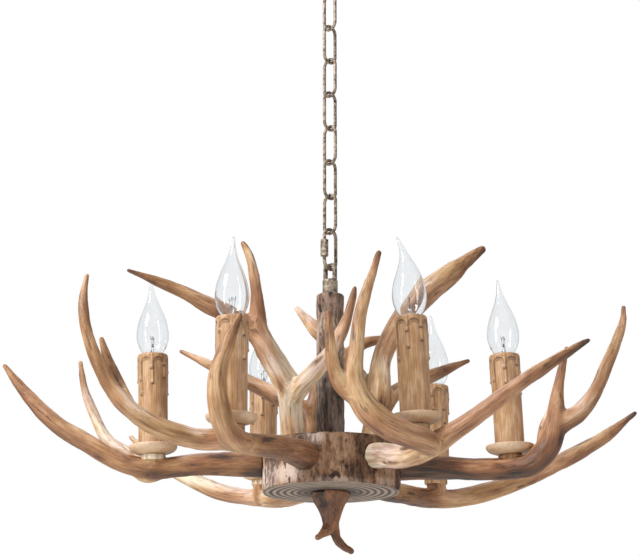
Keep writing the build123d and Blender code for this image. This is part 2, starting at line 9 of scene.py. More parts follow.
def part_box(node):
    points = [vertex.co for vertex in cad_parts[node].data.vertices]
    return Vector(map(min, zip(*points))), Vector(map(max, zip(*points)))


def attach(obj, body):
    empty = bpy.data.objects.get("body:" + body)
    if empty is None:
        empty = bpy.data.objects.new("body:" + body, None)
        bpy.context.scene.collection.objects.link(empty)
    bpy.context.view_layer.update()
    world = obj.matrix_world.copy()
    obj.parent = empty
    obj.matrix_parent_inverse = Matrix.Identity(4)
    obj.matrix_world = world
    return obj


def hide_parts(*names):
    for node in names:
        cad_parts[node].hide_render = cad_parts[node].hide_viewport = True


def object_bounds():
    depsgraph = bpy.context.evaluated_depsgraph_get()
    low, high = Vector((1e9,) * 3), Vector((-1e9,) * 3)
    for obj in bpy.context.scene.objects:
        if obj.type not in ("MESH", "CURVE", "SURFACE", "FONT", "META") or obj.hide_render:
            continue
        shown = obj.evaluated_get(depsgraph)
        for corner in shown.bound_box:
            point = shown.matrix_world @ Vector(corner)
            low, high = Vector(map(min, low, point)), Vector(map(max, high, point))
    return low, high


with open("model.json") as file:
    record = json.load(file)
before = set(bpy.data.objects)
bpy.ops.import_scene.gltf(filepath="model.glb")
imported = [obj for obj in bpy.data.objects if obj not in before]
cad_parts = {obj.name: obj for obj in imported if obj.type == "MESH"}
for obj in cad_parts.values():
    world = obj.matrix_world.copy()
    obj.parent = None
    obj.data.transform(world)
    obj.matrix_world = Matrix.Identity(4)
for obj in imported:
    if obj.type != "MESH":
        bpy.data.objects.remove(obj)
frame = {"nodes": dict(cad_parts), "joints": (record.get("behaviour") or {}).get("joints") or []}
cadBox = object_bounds()
mm = 0.001
joints = {joint["name"]: joint for joint in frame["joints"]}
print("frame loaded:", len(frame["nodes"]), "nodes")

# heights and radii that several pieces share, all from the frame
hubLow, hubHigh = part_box("hub")
hubRadius = hubHigh.x
hubTop, hubBottom = hubHigh.z, hubLow.z
stemLow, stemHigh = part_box("stem")


# small modelling helpers

def makeActive(piece):
    bpy.ops.object.select_all(action="DESELECT")
    piece.select_set(True)
    bpy.context.view_layer.objects.active = piece


def joinPieces(pieces, name):
    makeActive(pieces[0])
    for piece in pieces[1:]:
        piece.select_set(True)
    bpy.ops.object.join()
    joined = bpy.context.object
    joined.name = name
    return joined


def applyModifier(piece, kind, **settings):
    makeActive(piece)
    modifier = piece.modifiers.new(kind.lower(), kind)
    for key, value in settings.items():
        setattr(modifier, key, value)
    bpy.ops.object.modifier_apply(modifier=modifier.name)


def subdivide(piece):
    applyModifier(piece, "SUBSURF", levels=1, render_levels=1)


def getVectors(mesh, source="vertices", field="co"):
    values = np.empty(len(mesh.vertices) * 3)
    getattr(mesh, source).foreach_get(field, values)
    return values.reshape(-1, 3)


# distance from the upright axis in mm and direction in radians
def roundAxis(places):
    return np.hypot(places[:, 0], places[:, 1]) / mm, np.arctan2(places[:, 1], places[:, 0])


def setPlaces(mesh, places):
    mesh.vertices.foreach_set("co", places.astype(np.float32).ravel())
    mesh.update()


def writeAttribute(mesh, name, values):
    kind = "FLOAT_VECTOR" if values.ndim == 2 else "FLOAT"
    attribute = mesh.attributes.get(name) or mesh.attributes.new(name, kind, "POINT")
    field = "vector" if values.ndim == 2 else "value"
    attribute.data.foreach_set(field, values.astype(np.float32).ravel())


# where grain runs on a surface, and how much of it is carved and cracked there
def writeSurface(mesh, grain, carved=1.0, cracked=1.0):
    full = np.ones(len(mesh.vertices))
    writeAttribute(mesh, "grain", grain)
    writeAttribute(mesh, "carved", full * carved)
    writeAttribute(mesh, "cracked", full * cracked)


def smoothStep(low, high, values):
    share = np.clip((values - low) / (high - low), 0, 1)
    return share * share * (3 - 2 * share)


# turns a profile of (radius, height) in mm round the upright axis
def turnProfile(name, profile, steps=96, closed=False):
    mesh = bpy.data.meshes.new(name)
    points = [(radius * mm, 0, height * mm) for radius, height in profile]
    edges = [(index, index + 1) for index in range(len(points) - 1)]
    if closed:
        edges.append((len(points) - 1, 0))
    mesh.from_pydata(points, edges, [])
    piece = bpy.data.objects.new(name, mesh)
    bpy.context.scene.collection.objects.link(piece)
    makeActive(piece)
    bpy.ops.object.mode_set(mode="EDIT")
    bpy.ops.mesh.select_all(action="SELECT")
    bpy.ops.mesh.spin(steps=steps, angle=2 * math.pi, center=(0, 0, 0), axis=(0, 0, 1))
    bpy.ops.mesh.select_all(action="SELECT")
    bpy.ops.mesh.remove_doubles(threshold=0.01 * mm)
    bpy.ops.mesh.normals_make_consistent(inside=False)
    bpy.ops.object.mode_set(mode="OBJECT")
    return piece


# a profile with more points between its corners, so that grain can be carved into it
def finerProfile(profile, spacing, closed=False):
    corners = profile + [profile[0]] if closed else profile
    finer = []
    for (r0, z0), (r1, z1) in zip(corners, corners[1:]):
        count = max(1, round(math.hypot(r1 - r0, z1 - z0) / spacing))
        finer += [(r0 + (r1 - r0) * k / count, z0 + (z1 - z0) * k / count) for k in range(count)]
    return finer if closed else finer + [profile[-1]]


def finishPiece(piece, material, body, nodes, slot, smoothAngle=40):
    makeActive(piece)
    bpy.ops.object.shade_smooth_by_angle(angle=math.radians(smoothAngle))
    piece.data.materials.clear()
    piece.data.materials.append(material)
    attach(piece, body)
    if nodes:
        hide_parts(*nodes)


def copyPiece(piece, name):
    copy = piece.copy()
    copy.data = piece.data.copy()
    copy.name = name
    bpy.context.scene.collection.objects.link(copy)
    return copy


def placeCopy(pattern, name, matrix, *finish):
    piece = copyPiece(pattern, name)
    piece.data.transform(matrix)
    finishPiece(piece, *finish)


# node helpers

def addMath(nodes, links, operation, *values):
    node = nodes.new("ShaderNodeMath")
    node.operation = operation
    for socket, value in zip(node.inputs, values):
        if isinstance(value, (int, float)):
            socket.default_value = value
        else:
            links.new(value, socket)
    return node.outputs[0]


def addNoise(nodes, links, place, scale, factor, detail):
    texture = nodes.new("ShaderNodeTexNoise")
    texture.inputs["Detail"].default_value = detail
    links.new(place, texture.inputs["Vector"])
    links.new(addMath(nodes, links, "MULTIPLY", scale, factor), texture.inputs["Scale"])
    return texture.outputs[0]


# brings a value from one range to another, with soft ends
def addRange(nodes, links, value, low, high, toLow=0.0, toHigh=1.0):
    remap = nodes.new("ShaderNodeMapRange")
    remap.interpolation_type = "SMOOTHSTEP"
    remap.inputs["From Min"].default_value = low
    remap.inputs["From Max"].default_value = high
    remap.inputs["To Min"].default_value = toLow
    remap.inputs["To Max"].default_value = toHigh
    links.new(value, remap.inputs["Value"])
    return remap.outputs["Result"]


def addProduct(nodes, links, first, second):
    product = nodes.new("ShaderNodeVectorMath")
    product.operation = "MULTIPLY"
    links.new(first, product.inputs[0])
    if isinstance(second, tuple):
        product.inputs[1].default_value = second
    else:
        links.new(second, product.inputs[1])
    return product.outputs[0]


# noise on the piece's own coordinates
def addSpeckle(nodes, links, scale, detail):
    place = nodes.new("ShaderNodeTexCoord")
    speckle = nodes.new("ShaderNodeTexNoise")
    speckle.inputs["Scale"].default_value = scale
    speckle.inputs["Detail"].default_value = detail
    links.new(place.outputs["Object"], speckle.inputs["Vector"])
    return speckle.outputs[0]


def addGroup(nodes, group, **values):
    placed = nodes.new("ShaderNodeGroup")
    placed.node_tree = group
    for name, value in values.items():
        placed.inputs[name].default_value = value
    return placed.outputs


# a node group with its sockets, given as {name: kind}
def newGroup(name, kind, inputs, outputs):
    group = bpy.data.node_groups.new(name, kind)
    for way, sockets in (("OUTPUT", outputs), ("INPUT", inputs)):
        for socket, socketKind in sockets.items():
            group.interface.new_socket(socket, in_out=way, socket_type=f"NodeSocket{socketKind}")
    return group, group.nodes, group.links


def addStored(nodes, name):
    stored = nodes.new("ShaderNodeAttribute")
    stored.attribute_name = name
    return stored.outputs["Fac"]


# carving: a geometry group that cuts grain along the stored grain coordinates

def makeCarveGroup():
    inputs = {"Geometry": "Geometry", "Scale": "Float", "Swell": "Float", "Groove": "Float",
              "Crack": "Float", "Stretch": "Vector"}
    group, nodes, links = newGroup("carveGrain", "GeometryNodeTree", inputs, {"Geometry": "Geometry"})
    start = nodes.new("NodeGroupInput")
    end = nodes.new("NodeGroupOutput")

    def stored(name, kind="FLOAT"):
        node = nodes.new("GeometryNodeInputNamedAttribute")
        node.data_type = kind
        node.inputs["Name"].default_value = name
        return node.outputs["Attribute"]

    def noise(place, factor, detail):
        return addNoise(nodes, links, place, start.outputs["Scale"], factor, detail)

    grain = stored("grain", "FLOAT_VECTOR")
    stretched = addProduct(nodes, links, grain, start.outputs["Stretch"])
    # swells run over the whole piece, grooves follow the grain, cracks are short and come in clusters
    swell = addRange(nodes, links, noise(grain, 0.35, 2), 0.3, 0.7, -1, 1)
    groove = addRange(nodes, links, noise(stretched, 1.0, 4), 0.3, 0.7, -1, 1)
    cluster = addRange(nodes, links, noise(grain, 0.45, 2), 0.46, 0.60)
    crack = addRange(nodes, links, noise(stretched, 1.7, 2), 0.56, 0.66)
    crack = addMath(nodes, links, "MULTIPLY", crack, cluster)
    crack = addMath(nodes, links, "MULTIPLY", crack, stored("cracked"))
    depth = addMath(nodes, links, "MULTIPLY", swell, start.outputs["Swell"])
    depth = addMath(nodes, links, "MULTIPLY_ADD", groove, start.outputs["Groove"], depth)
    sunk = addMath(nodes, links, "MULTIPLY", crack, start.outputs["Crack"])
    depth = addMath(nodes, links, "SUBTRACT", depth, sunk)
    depth = addMath(nodes, links, "MULTIPLY", depth, stored("carved"))
    # the height of grooves and cracks is kept for the colours
    relief = addMath(nodes, links, "SUBTRACT", groove, addMath(nodes, links, "MULTIPLY", crack, 2.0))
    keep = nodes.new("GeometryNodeStoreNamedAttribute")
    keep.data_type = "FLOAT"
    keep.domain = "POINT"
    keep.inputs["Name"].default_value = "relief"
    links.new(start.outputs["Geometry"], keep.inputs["Geometry"])
    links.new(relief, keep.inputs["Value"])
    push = nodes.new("ShaderNodeVectorMath")
    push.operation = "SCALE"
    links.new(nodes.new("GeometryNodeInputNormal").outputs[0], push.inputs[0])
    links.new(depth, push.inputs["Scale"])
    place = nodes.new("GeometryNodeSetPosition")
    links.new(keep.outputs["Geometry"], place.inputs["Geometry"])
    links.new(push.outputs[0], place.inputs["Offset"])
    links.new(place.outputs["Geometry"], end.inputs["Geometry"])
    return group


carveGroup = makeCarveGroup()
carveInputs = [item for item in carveGroup.interface.items_tree if item.in_out == "INPUT"]
carveSockets = {item.name: item.identifier for item in carveInputs}


# scale is in cycles per metre, the depths in metres
def carve(piece, scale, stretch, swell=0.0, groove=0.0, crack=0.0):
    makeActive(piece)
    modifier = piece.modifiers.new("carve", "NODES")
    modifier.node_group = carveGroup
    values = {"Scale": scale, "Swell": swell, "Groove": groove, "Crack": crack, "Stretch": stretch}
    for name, value in values.items():
        modifier[carveSockets[name]] = value
    bpy.ops.object.modifier_apply(modifier=modifier.name)


# shader groups

# lengthwise grain on the stored coordinates: broad patches, hue, streaks, dashes, pits and fine lines
def makeGrainGroup():
    outputs = dict.fromkeys(("Broad", "Hue", "Streak", "Dash", "Pit", "Fine", "Relief"), "Float")
    group, nodes, links = newGroup(
        "lengthwiseGrain", "ShaderNodeTree", {"Scale": "Float", "Stretch": "Vector"}, outputs)
    start = nodes.new("NodeGroupInput")
    end = nodes.new("NodeGroupOutput")
    grain = nodes.new("ShaderNodeAttribute")
    grain.attribute_name = "grain"
    stretched = addProduct(nodes, links, grain.outputs["Vector"], start.outputs["Stretch"])
    # broad patches are about twice as long as wide
    half = addProduct(nodes, links, grain.outputs["Vector"], (1.0, 1.0, 0.45))

    def noise(place, factor, detail):
        return addNoise(nodes, links, place, start.outputs["Scale"], factor, detail)

    links.new(addRange(nodes, links, noise(half, 0.42, 3), 0.32, 0.68), end.inputs["Broad"])
    links.new(addRange(nodes, links, noise(half, 0.27, 1), 0.38, 0.62), end.inputs["Hue"])
    links.new(addRange(nodes, links, noise(stretched, 2.3, 4), 0.42, 0.66), end.inputs["Streak"])
    cluster = addRange(nodes, links, noise(half, 0.9, 2), 0.46, 0.60)
    dash = addRange(nodes, links, noise(stretched, 5.0, 2), 0.57, 0.66)
    links.new(addMath(nodes, links, "MULTIPLY", dash, cluster), end.inputs["Dash"])
    links.new(addRange(nodes, links, noise(grain.outputs["Vector"], 6.0, 2), 0.66, 0.74), end.inputs["Pit"])
    links.new(addRange(nodes, links, noise(stretched, 7.0, 3), 0.35, 0.65), end.inputs["Fine"])
    links.new(addStored(nodes, "relief"), end.inputs["Relief"])
    return group


grainGroup = makeGrainGroup()


def newMaterial(name):
    material = bpy.data.materials.new(name)
    material.use_nodes = True
    tree = material.node_tree
    return material, tree.nodes, tree.links, tree.nodes["Principled BSDF"]


def addRamp(nodes, links, value, stops):
    ramp = nodes.new("ShaderNodeValToRGB")
    while len(ramp.color_ramp.elements) < len(stops):
        ramp.color_ramp.elements.new(0.5)
    for element, (position, colour) in zip(ramp.color_ramp.elements, stops):
        element.position = position
        element.color = (*colour, 1)
    links.new(value, ramp.inputs["Fac"])
    return ramp.outputs["Color"]


def addMix(nodes, links, factor, first, second, blend="MIX"):
    mix = nodes.new("ShaderNodeMix")
    mix.data_type = "RGBA"
    mix.blend_type = blend
    for socket, value in ((mix.inputs[0], factor), (mix.inputs[6], first), (mix.inputs[7], second)):
        if isinstance(value, (int, float)):
            socket.default_value = value
        elif isinstance(value, tuple):
            socket.default_value = (*value, 1)
        else:
            links.new(value, socket)
    return mix.outputs[2]


def addBump(nodes, links, shader, height, distance):
    bump = nodes.new("ShaderNodeBump")
    bump.inputs["Distance"].default_value = distance
    links.new(height, bump.inputs["Height"])
    links.new(bump.outputs["Normal"], shader.inputs["Normal"])


# materials

# colours from 0, charcoal, over dark brown, orange brown and tan to 1, cream
antlerLook = {
    "stops": [
        (0.0, (0.030, 0.019, 0.013)),
        (0.20, (0.115, 0.050, 0.023)),
        (0.40, (0.275, 0.134, 0.060)),
        (0.58, (0.455, 0.262, 0.130)),
        (0.78, (0.64, 0.445, 0.275)),
        (1.0, (0.87, 0.785, 0.68)),
    ],
    "streakColour": (0.20, 0.088, 0.038),
    "dashColour": (0.060, 0.030, 0.018),
    "pink": (1.0, 0.86, 0.84),
    "orange": (1.0, 0.94, 0.80),
    "scale": 95.0, "stretch": (1.0, 1.0, 0.10),
    # how far each part of the grain moves the tone
    "broad": 0.36, "broadShift": -0.17, "fine": 0.13, "relief": 0.09,
    # how much each kind of dark mark covers
    "streak": 0.46, "dash": 0.62, "crack": 0.8, "pit": 0.35,
    "roughness": 0.40, "roughnessSpread": 0.14, "bump": 0.22 * mm,
    # the listed tones go down a little; painted light lifts them on upper faces and painted shade lowers
    # them on undersides
    "toneShift": -0.04, "paintedLightAndShade": 0.16,
    # how deep cracks are in plain places, and how much deeper in scars
    "cracked": 0.55, "scarred": 1.5,
}


def makeAntlerMaterial():
    material, nodes, links, shader = newMaterial("antlerResin")
    look = antlerLook
    grain = addGroup(nodes, grainGroup, Scale=look["scale"], Stretch=look["stretch"])
    shade = addMath(nodes, links, "MULTIPLY_ADD", grain["Broad"], look["broad"], look["broadShift"])
    shade = addMath(nodes, links, "ADD", shade, addStored(nodes, "tone"))
    shade = addMath(nodes, links, "MULTIPLY_ADD", grain["Fine"], look["fine"], shade)
    shade = addMath(nodes, links, "MULTIPLY_ADD", grain["Relief"], look["relief"], shade)
    colour = addRamp(nodes, links, shade, look["stops"])
    tint = addMix(nodes, links, grain["Hue"], look["pink"], look["orange"])
    colour = addMix(nodes, links, 1.0, colour, tint, "MULTIPLY")
    cracked = addRange(nodes, links, grain["Relief"], -0.9, -1.9)
    marks = (
        (grain["Streak"], look["streak"], look["streakColour"]),
        (grain["Dash"], look["dash"], look["dashColour"]),
        (cracked, look["crack"], look["dashColour"]),
        (grain["Pit"], look["pit"], look["dashColour"]),
    )
    for mark, amount, markColour in marks:
        cover = addMath(nodes, links, "MULTIPLY", mark, amount)
        colour = addMix(nodes, links, cover, colour, markColour)
    links.new(colour, shader.inputs["Base Color"])
    rough = addMath(
        nodes, links, "MULTIPLY_ADD", grain["Broad"], look["roughnessSpread"], look["roughness"])
    links.new(rough, shader.inputs["Roughness"])
    height = addMath(nodes, links, "MULTIPLY_ADD", grain["Dash"], -1.2, grain["Fine"])
    addBump(nodes, links, shader, height, look["bump"])
    return material


# grained stuff in general: the ramp reads broad patches, fine lines and streaks
def addGrainColour(nodes, links, look):
    grain = addGroup(nodes, grainGroup, Scale=look["scale"], Stretch=look["stretch"])
    rest = 1 - look["broad"] - look["fine"]
    value = addMath(nodes, links, "MULTIPLY_ADD", grain["Streak"], -rest, rest)
    value = addMath(nodes, links, "MULTIPLY_ADD", grain["Broad"], look["broad"], value)
    value = addMath(nodes, links, "MULTIPLY_ADD", grain["Fine"], look["fine"], value)
    value = addMath(nodes, links, "MULTIPLY_ADD", grain["Relief"], look["relief"], value)
    colour = addRamp(nodes, links, value, look["stops"])
    sunk = addRange(nodes, links, grain["Relief"], -0.8, -1.7)
    dark = addMath(nodes, links, "MAXIMUM", sunk, grain["Dash"])
    dark = addMath(nodes, links, "MULTIPLY", dark, look["dash"])
    colour = addMix(nodes, links, dark, colour, look["dashColour"])
    return colour, addMath(nodes, links, "MULTIPLY_ADD", dark, -0.8, value)


def makeGrainMaterial(name, look):
    material, nodes, links, shader = newMaterial(name)
    colour, height = addGrainColour(nodes, links, look)
    # painted shade on the candles, under their wax steps and beads and beside their drips
    if "paintedShadeColour" in look:
        colour = addMix(nodes, links, addStored(nodes, "paintedShade"), colour, look["paintedShadeColour"])
    # painted shade of the antlers over the stem's lower bark
    if "shadeColour" in look:
        colour = addMix(nodes, links, addStored(nodes, "shade"), colour, look["shadeColour"], "MULTIPLY")
    links.new(colour, shader.inputs["Base Color"])
    shader.inputs["Roughness"].default_value = look["roughness"]
    addBump(nodes, links, shader, height, look["bump"])
    return material


stemLook = {
    "stops": [
        (0.10, (0.030, 0.022, 0.018)),
        (0.40, (0.160, 0.096, 0.064)),
        (0.65, (0.300, 0.195, 0.138)),
        (0.95, (0.54, 0.410, 0.325)),
    ],
    "scale": 150.0, "stretch": (1.0, 1.0, 0.20), "broad": 0.45, "fine": 0.2, "relief": 0.12,
    # shadeColour is the painted shade of the antlers on the stem's lower bark
    "dash": 0.8, "dashColour": (0.014, 0.010, 0.008), "shadeColour": (0.50, 0.52, 0.56),
    "roughness": 0.75, "bump": 0.5 * mm,
    "carving": {"swell": 0.4 * mm, "groove": 0.45 * mm, "crack": 0.9 * mm},
}
candleLook = {
    "stops": [
        (0.08, (0.31, 0.152, 0.064)),
        (0.40, (0.44, 0.240, 0.112)),
        (0.65, (0.55, 0.330, 0.172)),
        (0.95, (0.70, 0.500, 0.330)),
    ],
    "scale": 300.0, "stretch": (1.0, 1.0, 0.022), "broad": 0.35, "fine": 0.35, "relief": 0.04,
    # paintedShadeColour is the painted shade under the wax steps and beads and beside the drips
    "dash": 0.06, "dashColour": (0.26, 0.115, 0.045), "paintedShadeColour": (0.095, 0.038, 0.017),
    "roughness": 0.30, "bump": 0.12 * mm, "carving": {"groove": 0.16 * mm, "crack": 0.1 * mm},
}
panLook = {
    "stops": [
        (0.1, (0.50, 0.305, 0.165)),
        (0.5, (0.62, 0.415, 0.250)),
        (0.9, (0.71, 0.525, 0.355)),
    ],
    "scale": 90.0, "stretch": (0.6, 0.6, 1.0), "broad": 0.5, "fine": 0.2, "relief": 0.0,
    "dash": 0.10, "dashColour": (0.30, 0.16, 0.08), "roughness": 0.42, "bump": 0.03 * mm,
}

antlerMaterial = makeAntlerMaterial()
stemMaterial = makeGrainMaterial("stemBark", stemLook)
candleMaterial = makeGrainMaterial("candleWax", candleLook)
panMaterial = makeGrainMaterial("turnedPan", panLook)


def makeMetalMaterial(name, look):
    material, nodes, links, shader = newMaterial(name)
    speckle = addSpeckle(nodes, links, look["scale"], 3)
    colour = addRamp(nodes, links, speckle, [(0.36, look["dark"]), (0.64, look["pale"])])
    links.new(colour, shader.inputs["Base Color"])
    shader.inputs["Metallic"].default_value = look["metallic"]
    rough = addMath(nodes, links, "MULTIPLY_ADD", speckle, 0.2, look["roughness"] - 0.1)
    links.new(rough, shader.inputs["Roughness"])
    addBump(nodes, links, shader, speckle, look["bump"])
    return material


metalLooks = {
    "antiquedMetal": {"dark": (0.095, 0.066, 0.045), "pale": (0.46, 0.375, 0.285), "metallic": 0.45,
                      "roughness": 0.48, "scale": 300.0, "bump": 0.2 * mm},
    "zincPlate": {"dark": (0.40, 0.40, 0.39), "pale": (0.62, 0.62, 0.60), "metallic": 1.0,
                  "roughness": 0.35, "scale": 900.0, "bump": 0.05 * mm},
    "nickelCap": {"dark": (0.50, 0.49, 0.46), "pale": (0.72, 0.71, 0.68), "metallic": 1.0,
                  "roughness": 0.28, "scale": 700.0, "bump": 0.05 * mm},
    "socketPlastic": {"dark": (0.78, 0.75, 0.68), "pale": (0.84, 0.82, 0.76), "metallic": 0.0,
                      "roughness": 0.5, "scale": 300.0, "bump": 0.02 * mm},
    "filamentWire": {"dark": (0.06, 0.055, 0.05), "pale": (0.12, 0.115, 0.11), "metallic": 0.6,
                     "roughness": 0.4, "scale": 300.0, "bump": 0.01 * mm},
}
metals = {name: makeMetalMaterial(name, look) for name, look in metalLooks.items()}
agedMetal = metals["antiquedMetal"]
zincMetal = metals["zincPlate"]
socketMaterial = metals["socketPlastic"]


# clear glass with painted shade at its edges: its colour turns greyer where it is seen edge on
glassLook = {
    "stops": [
        (0.0, (0.935, 0.948, 0.957)),
        (0.5, (0.88, 0.90, 0.915)),
        (1.0, (0.50, 0.54, 0.57)),
    ],
    "blend": 0.30, "bending": 1.45,
}


def makeGlassMaterial():
    material, nodes, links, shader = newMaterial("bulbGlass")
    facing = nodes.new("ShaderNodeLayerWeight")
    facing.inputs["Blend"].default_value = glassLook["blend"]
    # painted shade: greyer colour where the glass is seen edge on
    tint = addRamp(nodes, links, facing.outputs["Facing"], glassLook["stops"])
    links.new(tint, shader.inputs["Base Color"])
    shader.inputs["Roughness"].default_value = 0.0
    shader.inputs["IOR"].default_value = glassLook["bending"]
    shader.inputs["Transmission Weight"].default_value = 1.0
    return material


glassMaterial = makeGlassMaterial()
print("materials made")


# paths: smooth curves through listed stations

def smoothPath(stations, heading=None, spacing=2.5 * mm):
    points = np.array([place for place, _ in stations], float)
    radii = np.array([radius for _, radius in stations], float)
    chords = np.linalg.norm(np.diff(points, axis=0), axis=1)
    along = np.concatenate([[0], np.cumsum(chords)])
    slopes = np.gradient(points, along, axis=0)
    if heading is not None:
        slopes[0] = heading
    samples = []
    for index, chord in enumerate(chords):
        a, b = points[index], points[index + 1]
        da, db = slopes[index] * chord, slopes[index + 1] * chord
        count = max(2, round(chord / spacing))
        for step in range(count):
            t = step / count
            early, late = t * (1 - t)**2, t**2 * (1 - t)
            place = a + (3 * t**2 - 2 * t**3) * (b - a) + early * da - late * db
            samples.append((along[index] + t * chord, place))
    samples.append((along[-1], points[-1]))
    places = np.array([place for _, place in samples])
    marks = np.array([mark for mark, _ in samples])
    widths = np.interp(marks, along, radii)
    for _ in range(6):
        widths[1:-1] = 0.25 * widths[:-2] + 0.5 * widths[1:-1] + 0.25 * widths[2:]
    return {"places": places, "radii": widths, "along": marks}


# ends a path short of its last station, so that a ball there makes a blunt tip inside it
def bluntPath(path, tip):
    path["radii"] = np.maximum(path["radii"], tip)
    kept = path["along"] <= path["along"][-1] - tip - 0.9 * mm
    for key in ("places", "radii", "along"):
        path[key] = path[key][kept]
    return path


# directions along the path and two across it, carried from sample to sample without a twist
def addDirections(path, across):
    forward = np.gradient(path["places"], axis=0)
    forward /= np.linalg.norm(forward, axis=1)[:, None]
    sides = []
    for direction in forward:
        across = across - direction * across.dot(direction)
        across = across / np.linalg.norm(across)
        sides.append(across)
    path["forward"] = forward
    path["side"] = np.array(sides)
    path["up"] = np.cross(forward, path["side"])
    return path


def tubeAlong(path, name, roundness=5):
    curve = bpy.data.curves.new(name, "CURVE")
    curve.dimensions = "3D"
    curve.bevel_depth = 1.0
    curve.bevel_resolution = roundness
    curve.use_fill_caps = True
    spline = curve.splines.new("POLY")
    spline.points.add(len(path["places"]) - 1)
    for point, place, radius in zip(spline.points, path["places"], path["radii"]):
        point.co = (*place, 1)
        point.radius = radius
    piece = bpy.data.objects.new(name, curve)
    bpy.context.scene.collection.objects.link(piece)
    makeActive(piece)
    bpy.ops.object.convert(target="MESH")
    return bpy.context.object


def ball(place, radius):
    bpy.ops.mesh.primitive_uv_sphere_add(segments=16, ring_count=10, radius=radius, location=place)
    bpy.ops.object.transform_apply(location=True, rotation=False, scale=False)
    return bpy.context.object


# branches meet softly over this reach, in this many rounds; block is how many vertices are measured at once
forkBlend = {"near": 0.5 * mm, "far": 7.0 * mm, "rounds": 14, "block": 8000}


# stores, for each vertex, where it is along and across its nearest branch, and its tone; a scar is a
# darker, more cracked place, and the long thin ones along the arms' undersides are painted shade:
# (centre, reach along each axis, amount)
def writeGrain(piece, paths, offset, scarsAndShade):
    mesh = piece.data
    places = getVectors(mesh)
    count = len(places)
    depth = np.full(count, np.inf)
    second = np.full(count, np.inf)
    grain = np.zeros((count, 3))
    tone = np.zeros(count)
    for path in paths:
        nearest = np.empty(count, int)
        for first in range(0, count, forkBlend["block"]):
            last = first + forkBlend["block"]
            block = places[first:last, None, :] - path["places"][None, :, :]
            apart = np.einsum("ijk,ijk->ij", block, block) - path["radii"][None, :]**2
            nearest[first:last] = apart.argmin(axis=1)
        reach = places - path["places"][nearest]
        forward = np.einsum("ij,ij->i", reach, path["forward"][nearest])
        across = np.einsum("ij,ij->i", reach, path["side"][nearest])
        upward = np.einsum("ij,ij->i", reach, path["up"][nearest])
        gap = np.sqrt(forward**2 + across**2 + upward**2) - path["radii"][nearest]
        closer = gap < depth
        second = np.where(closer, depth, np.minimum(second, gap))
        depth = np.where(closer, gap, depth)
        run = path["along"][nearest] + forward
        grain[closer] = np.stack([across, upward, run + path["start"]], axis=1)[closer]
        share = run / path["along"][-1]
        tone[closer] = np.interp(share, *zip(*path["tone"]))[closer]
    grain += np.array(offset)
    fork = 1 - smoothStep(forkBlend["near"], forkBlend["far"], second - depth)
    edges = np.empty(len(mesh.edges) * 2, int)
    mesh.edges.foreach_get("vertices", edges)
    a, b = edges.reshape(-1, 2).T
    number = np.bincount(np.concatenate([a, b]), minlength=count)[:, None]
    values = np.column_stack([grain, tone])
    for _ in range(forkBlend["rounds"]):
        total = np.zeros_like(values)
        np.add.at(total, a, values[b])
        np.add.at(total, b, values[a])
        blend = np.clip(fork[:, None] * 1.5, 0, 0.9)
        values = values * (1 - blend) + total / number * blend
    # painted light and shade: the tone rises where the surface faces up and falls where it faces down
    rise = getVectors(mesh, "vertex_normals", "vector")[:, 2]
    tone = values[:, 3] + antlerLook["toneShift"] + antlerLook["paintedLightAndShade"] * rise
    cracked = np.full(count, antlerLook["cracked"])
    # scars darken the tone; the ones along the arms' undersides are painted shade
    for centre, reach, amount in scarsAndShade:
        apart = (places / mm - np.array(centre)) / np.array(reach)
        scarAndShade = np.exp(-(apart**2).sum(axis=1))
        tone -= amount * scarAndShade
        cracked += antlerLook["scarred"] * scarAndShade
    writeSurface(mesh, values[:, :3], 1.0, cracked)
    writeAttribute(mesh, "tone", tone)
    return fork, a, b, number


# a and b are the ends of the edges, number the edges that each vertex has
def softenForks(piece, fork, a, b, number):
    mesh = piece.data
    places = getVectors(mesh)
    weight = (0.08 + 0.5 * fork)[:, None]
    for _ in range(forkBlend["rounds"]):
        total = np.zeros_like(places)
        np.add.at(total, a, places[b])
        np.add.at(total, b, places[a])
        places = places * (1 - weight) + total / number * weight
    setPlaces(mesh, places)


def growAntler(name, branches, seed, scarsAndShade=(), voxel=1.25 * mm, tip=2.3 * mm):
    paths = []
    tubes = []
    # each branch takes its direction across from its parent, and its run goes on from there
    for branch in branches:
        path = smoothPath(branch["stations"], branch.get("heading"))
        if not branch.get("flat"):
            bluntPath(path, tip)
        level = abs(path["places"][1][2] - path["places"][0][2]) < 1.5 * mm
        side = np.array((0.0, 0.0, 1.0)) if level else np.array((0.3, 1.0, 0.1))
        path["start"] = 0.0
        if paths:
            parent = paths[branch.get("from", 0)]
            nearest = np.linalg.norm(parent["places"] - path["places"][0], axis=1).argmin()
            side = parent["side"][nearest]
            path["start"] = parent["start"] + parent["along"][nearest]
        addDirections(path, side)
        path["tone"] = branch["tone"]
        paths.append(path)
        tubes.append(tubeAlong(path, name))
        if not branch.get("flat"):
            tubes.append(ball(path["places"][-1], path["radii"][-1]))
    piece = joinPieces(tubes, name)
    applyModifier(piece, "REMESH", mode="VOXEL", voxel_size=voxel)
    fork, a, b, number = writeGrain(piece, paths, (0, 0, seed), scarsAndShade)
    softenForks(piece, fork, a, b, number)
    writeGrain(piece, paths, (0, 0, seed), scarsAndShade)
    return piece


# draws a piece in where it would stick out of the CAD model's box
def keepInside(piece, margin=0.15 * mm):
    places = getVectors(piece.data)
    for axis in range(3):
        low, high = places[:, axis].min(), places[:, axis].max()
        wantedLow = max(low, cadBox[0][axis] + margin)
        wantedHigh = min(high, cadBox[1][axis] - margin)
        places[:, axis] = wantedLow + (places[:, axis] - low) * (wantedHigh - wantedLow) / (high - low)
    setPlaces(piece.data, places)


antlerCarving = {"swell": 0.45 * mm, "groove": 0.30 * mm, "crack": 0.8 * mm}


def carveAntler(piece):
    carve(piece, antlerLook["scale"], antlerLook["stretch"], **antlerCarving)
    keepInside(piece)


# antler arms

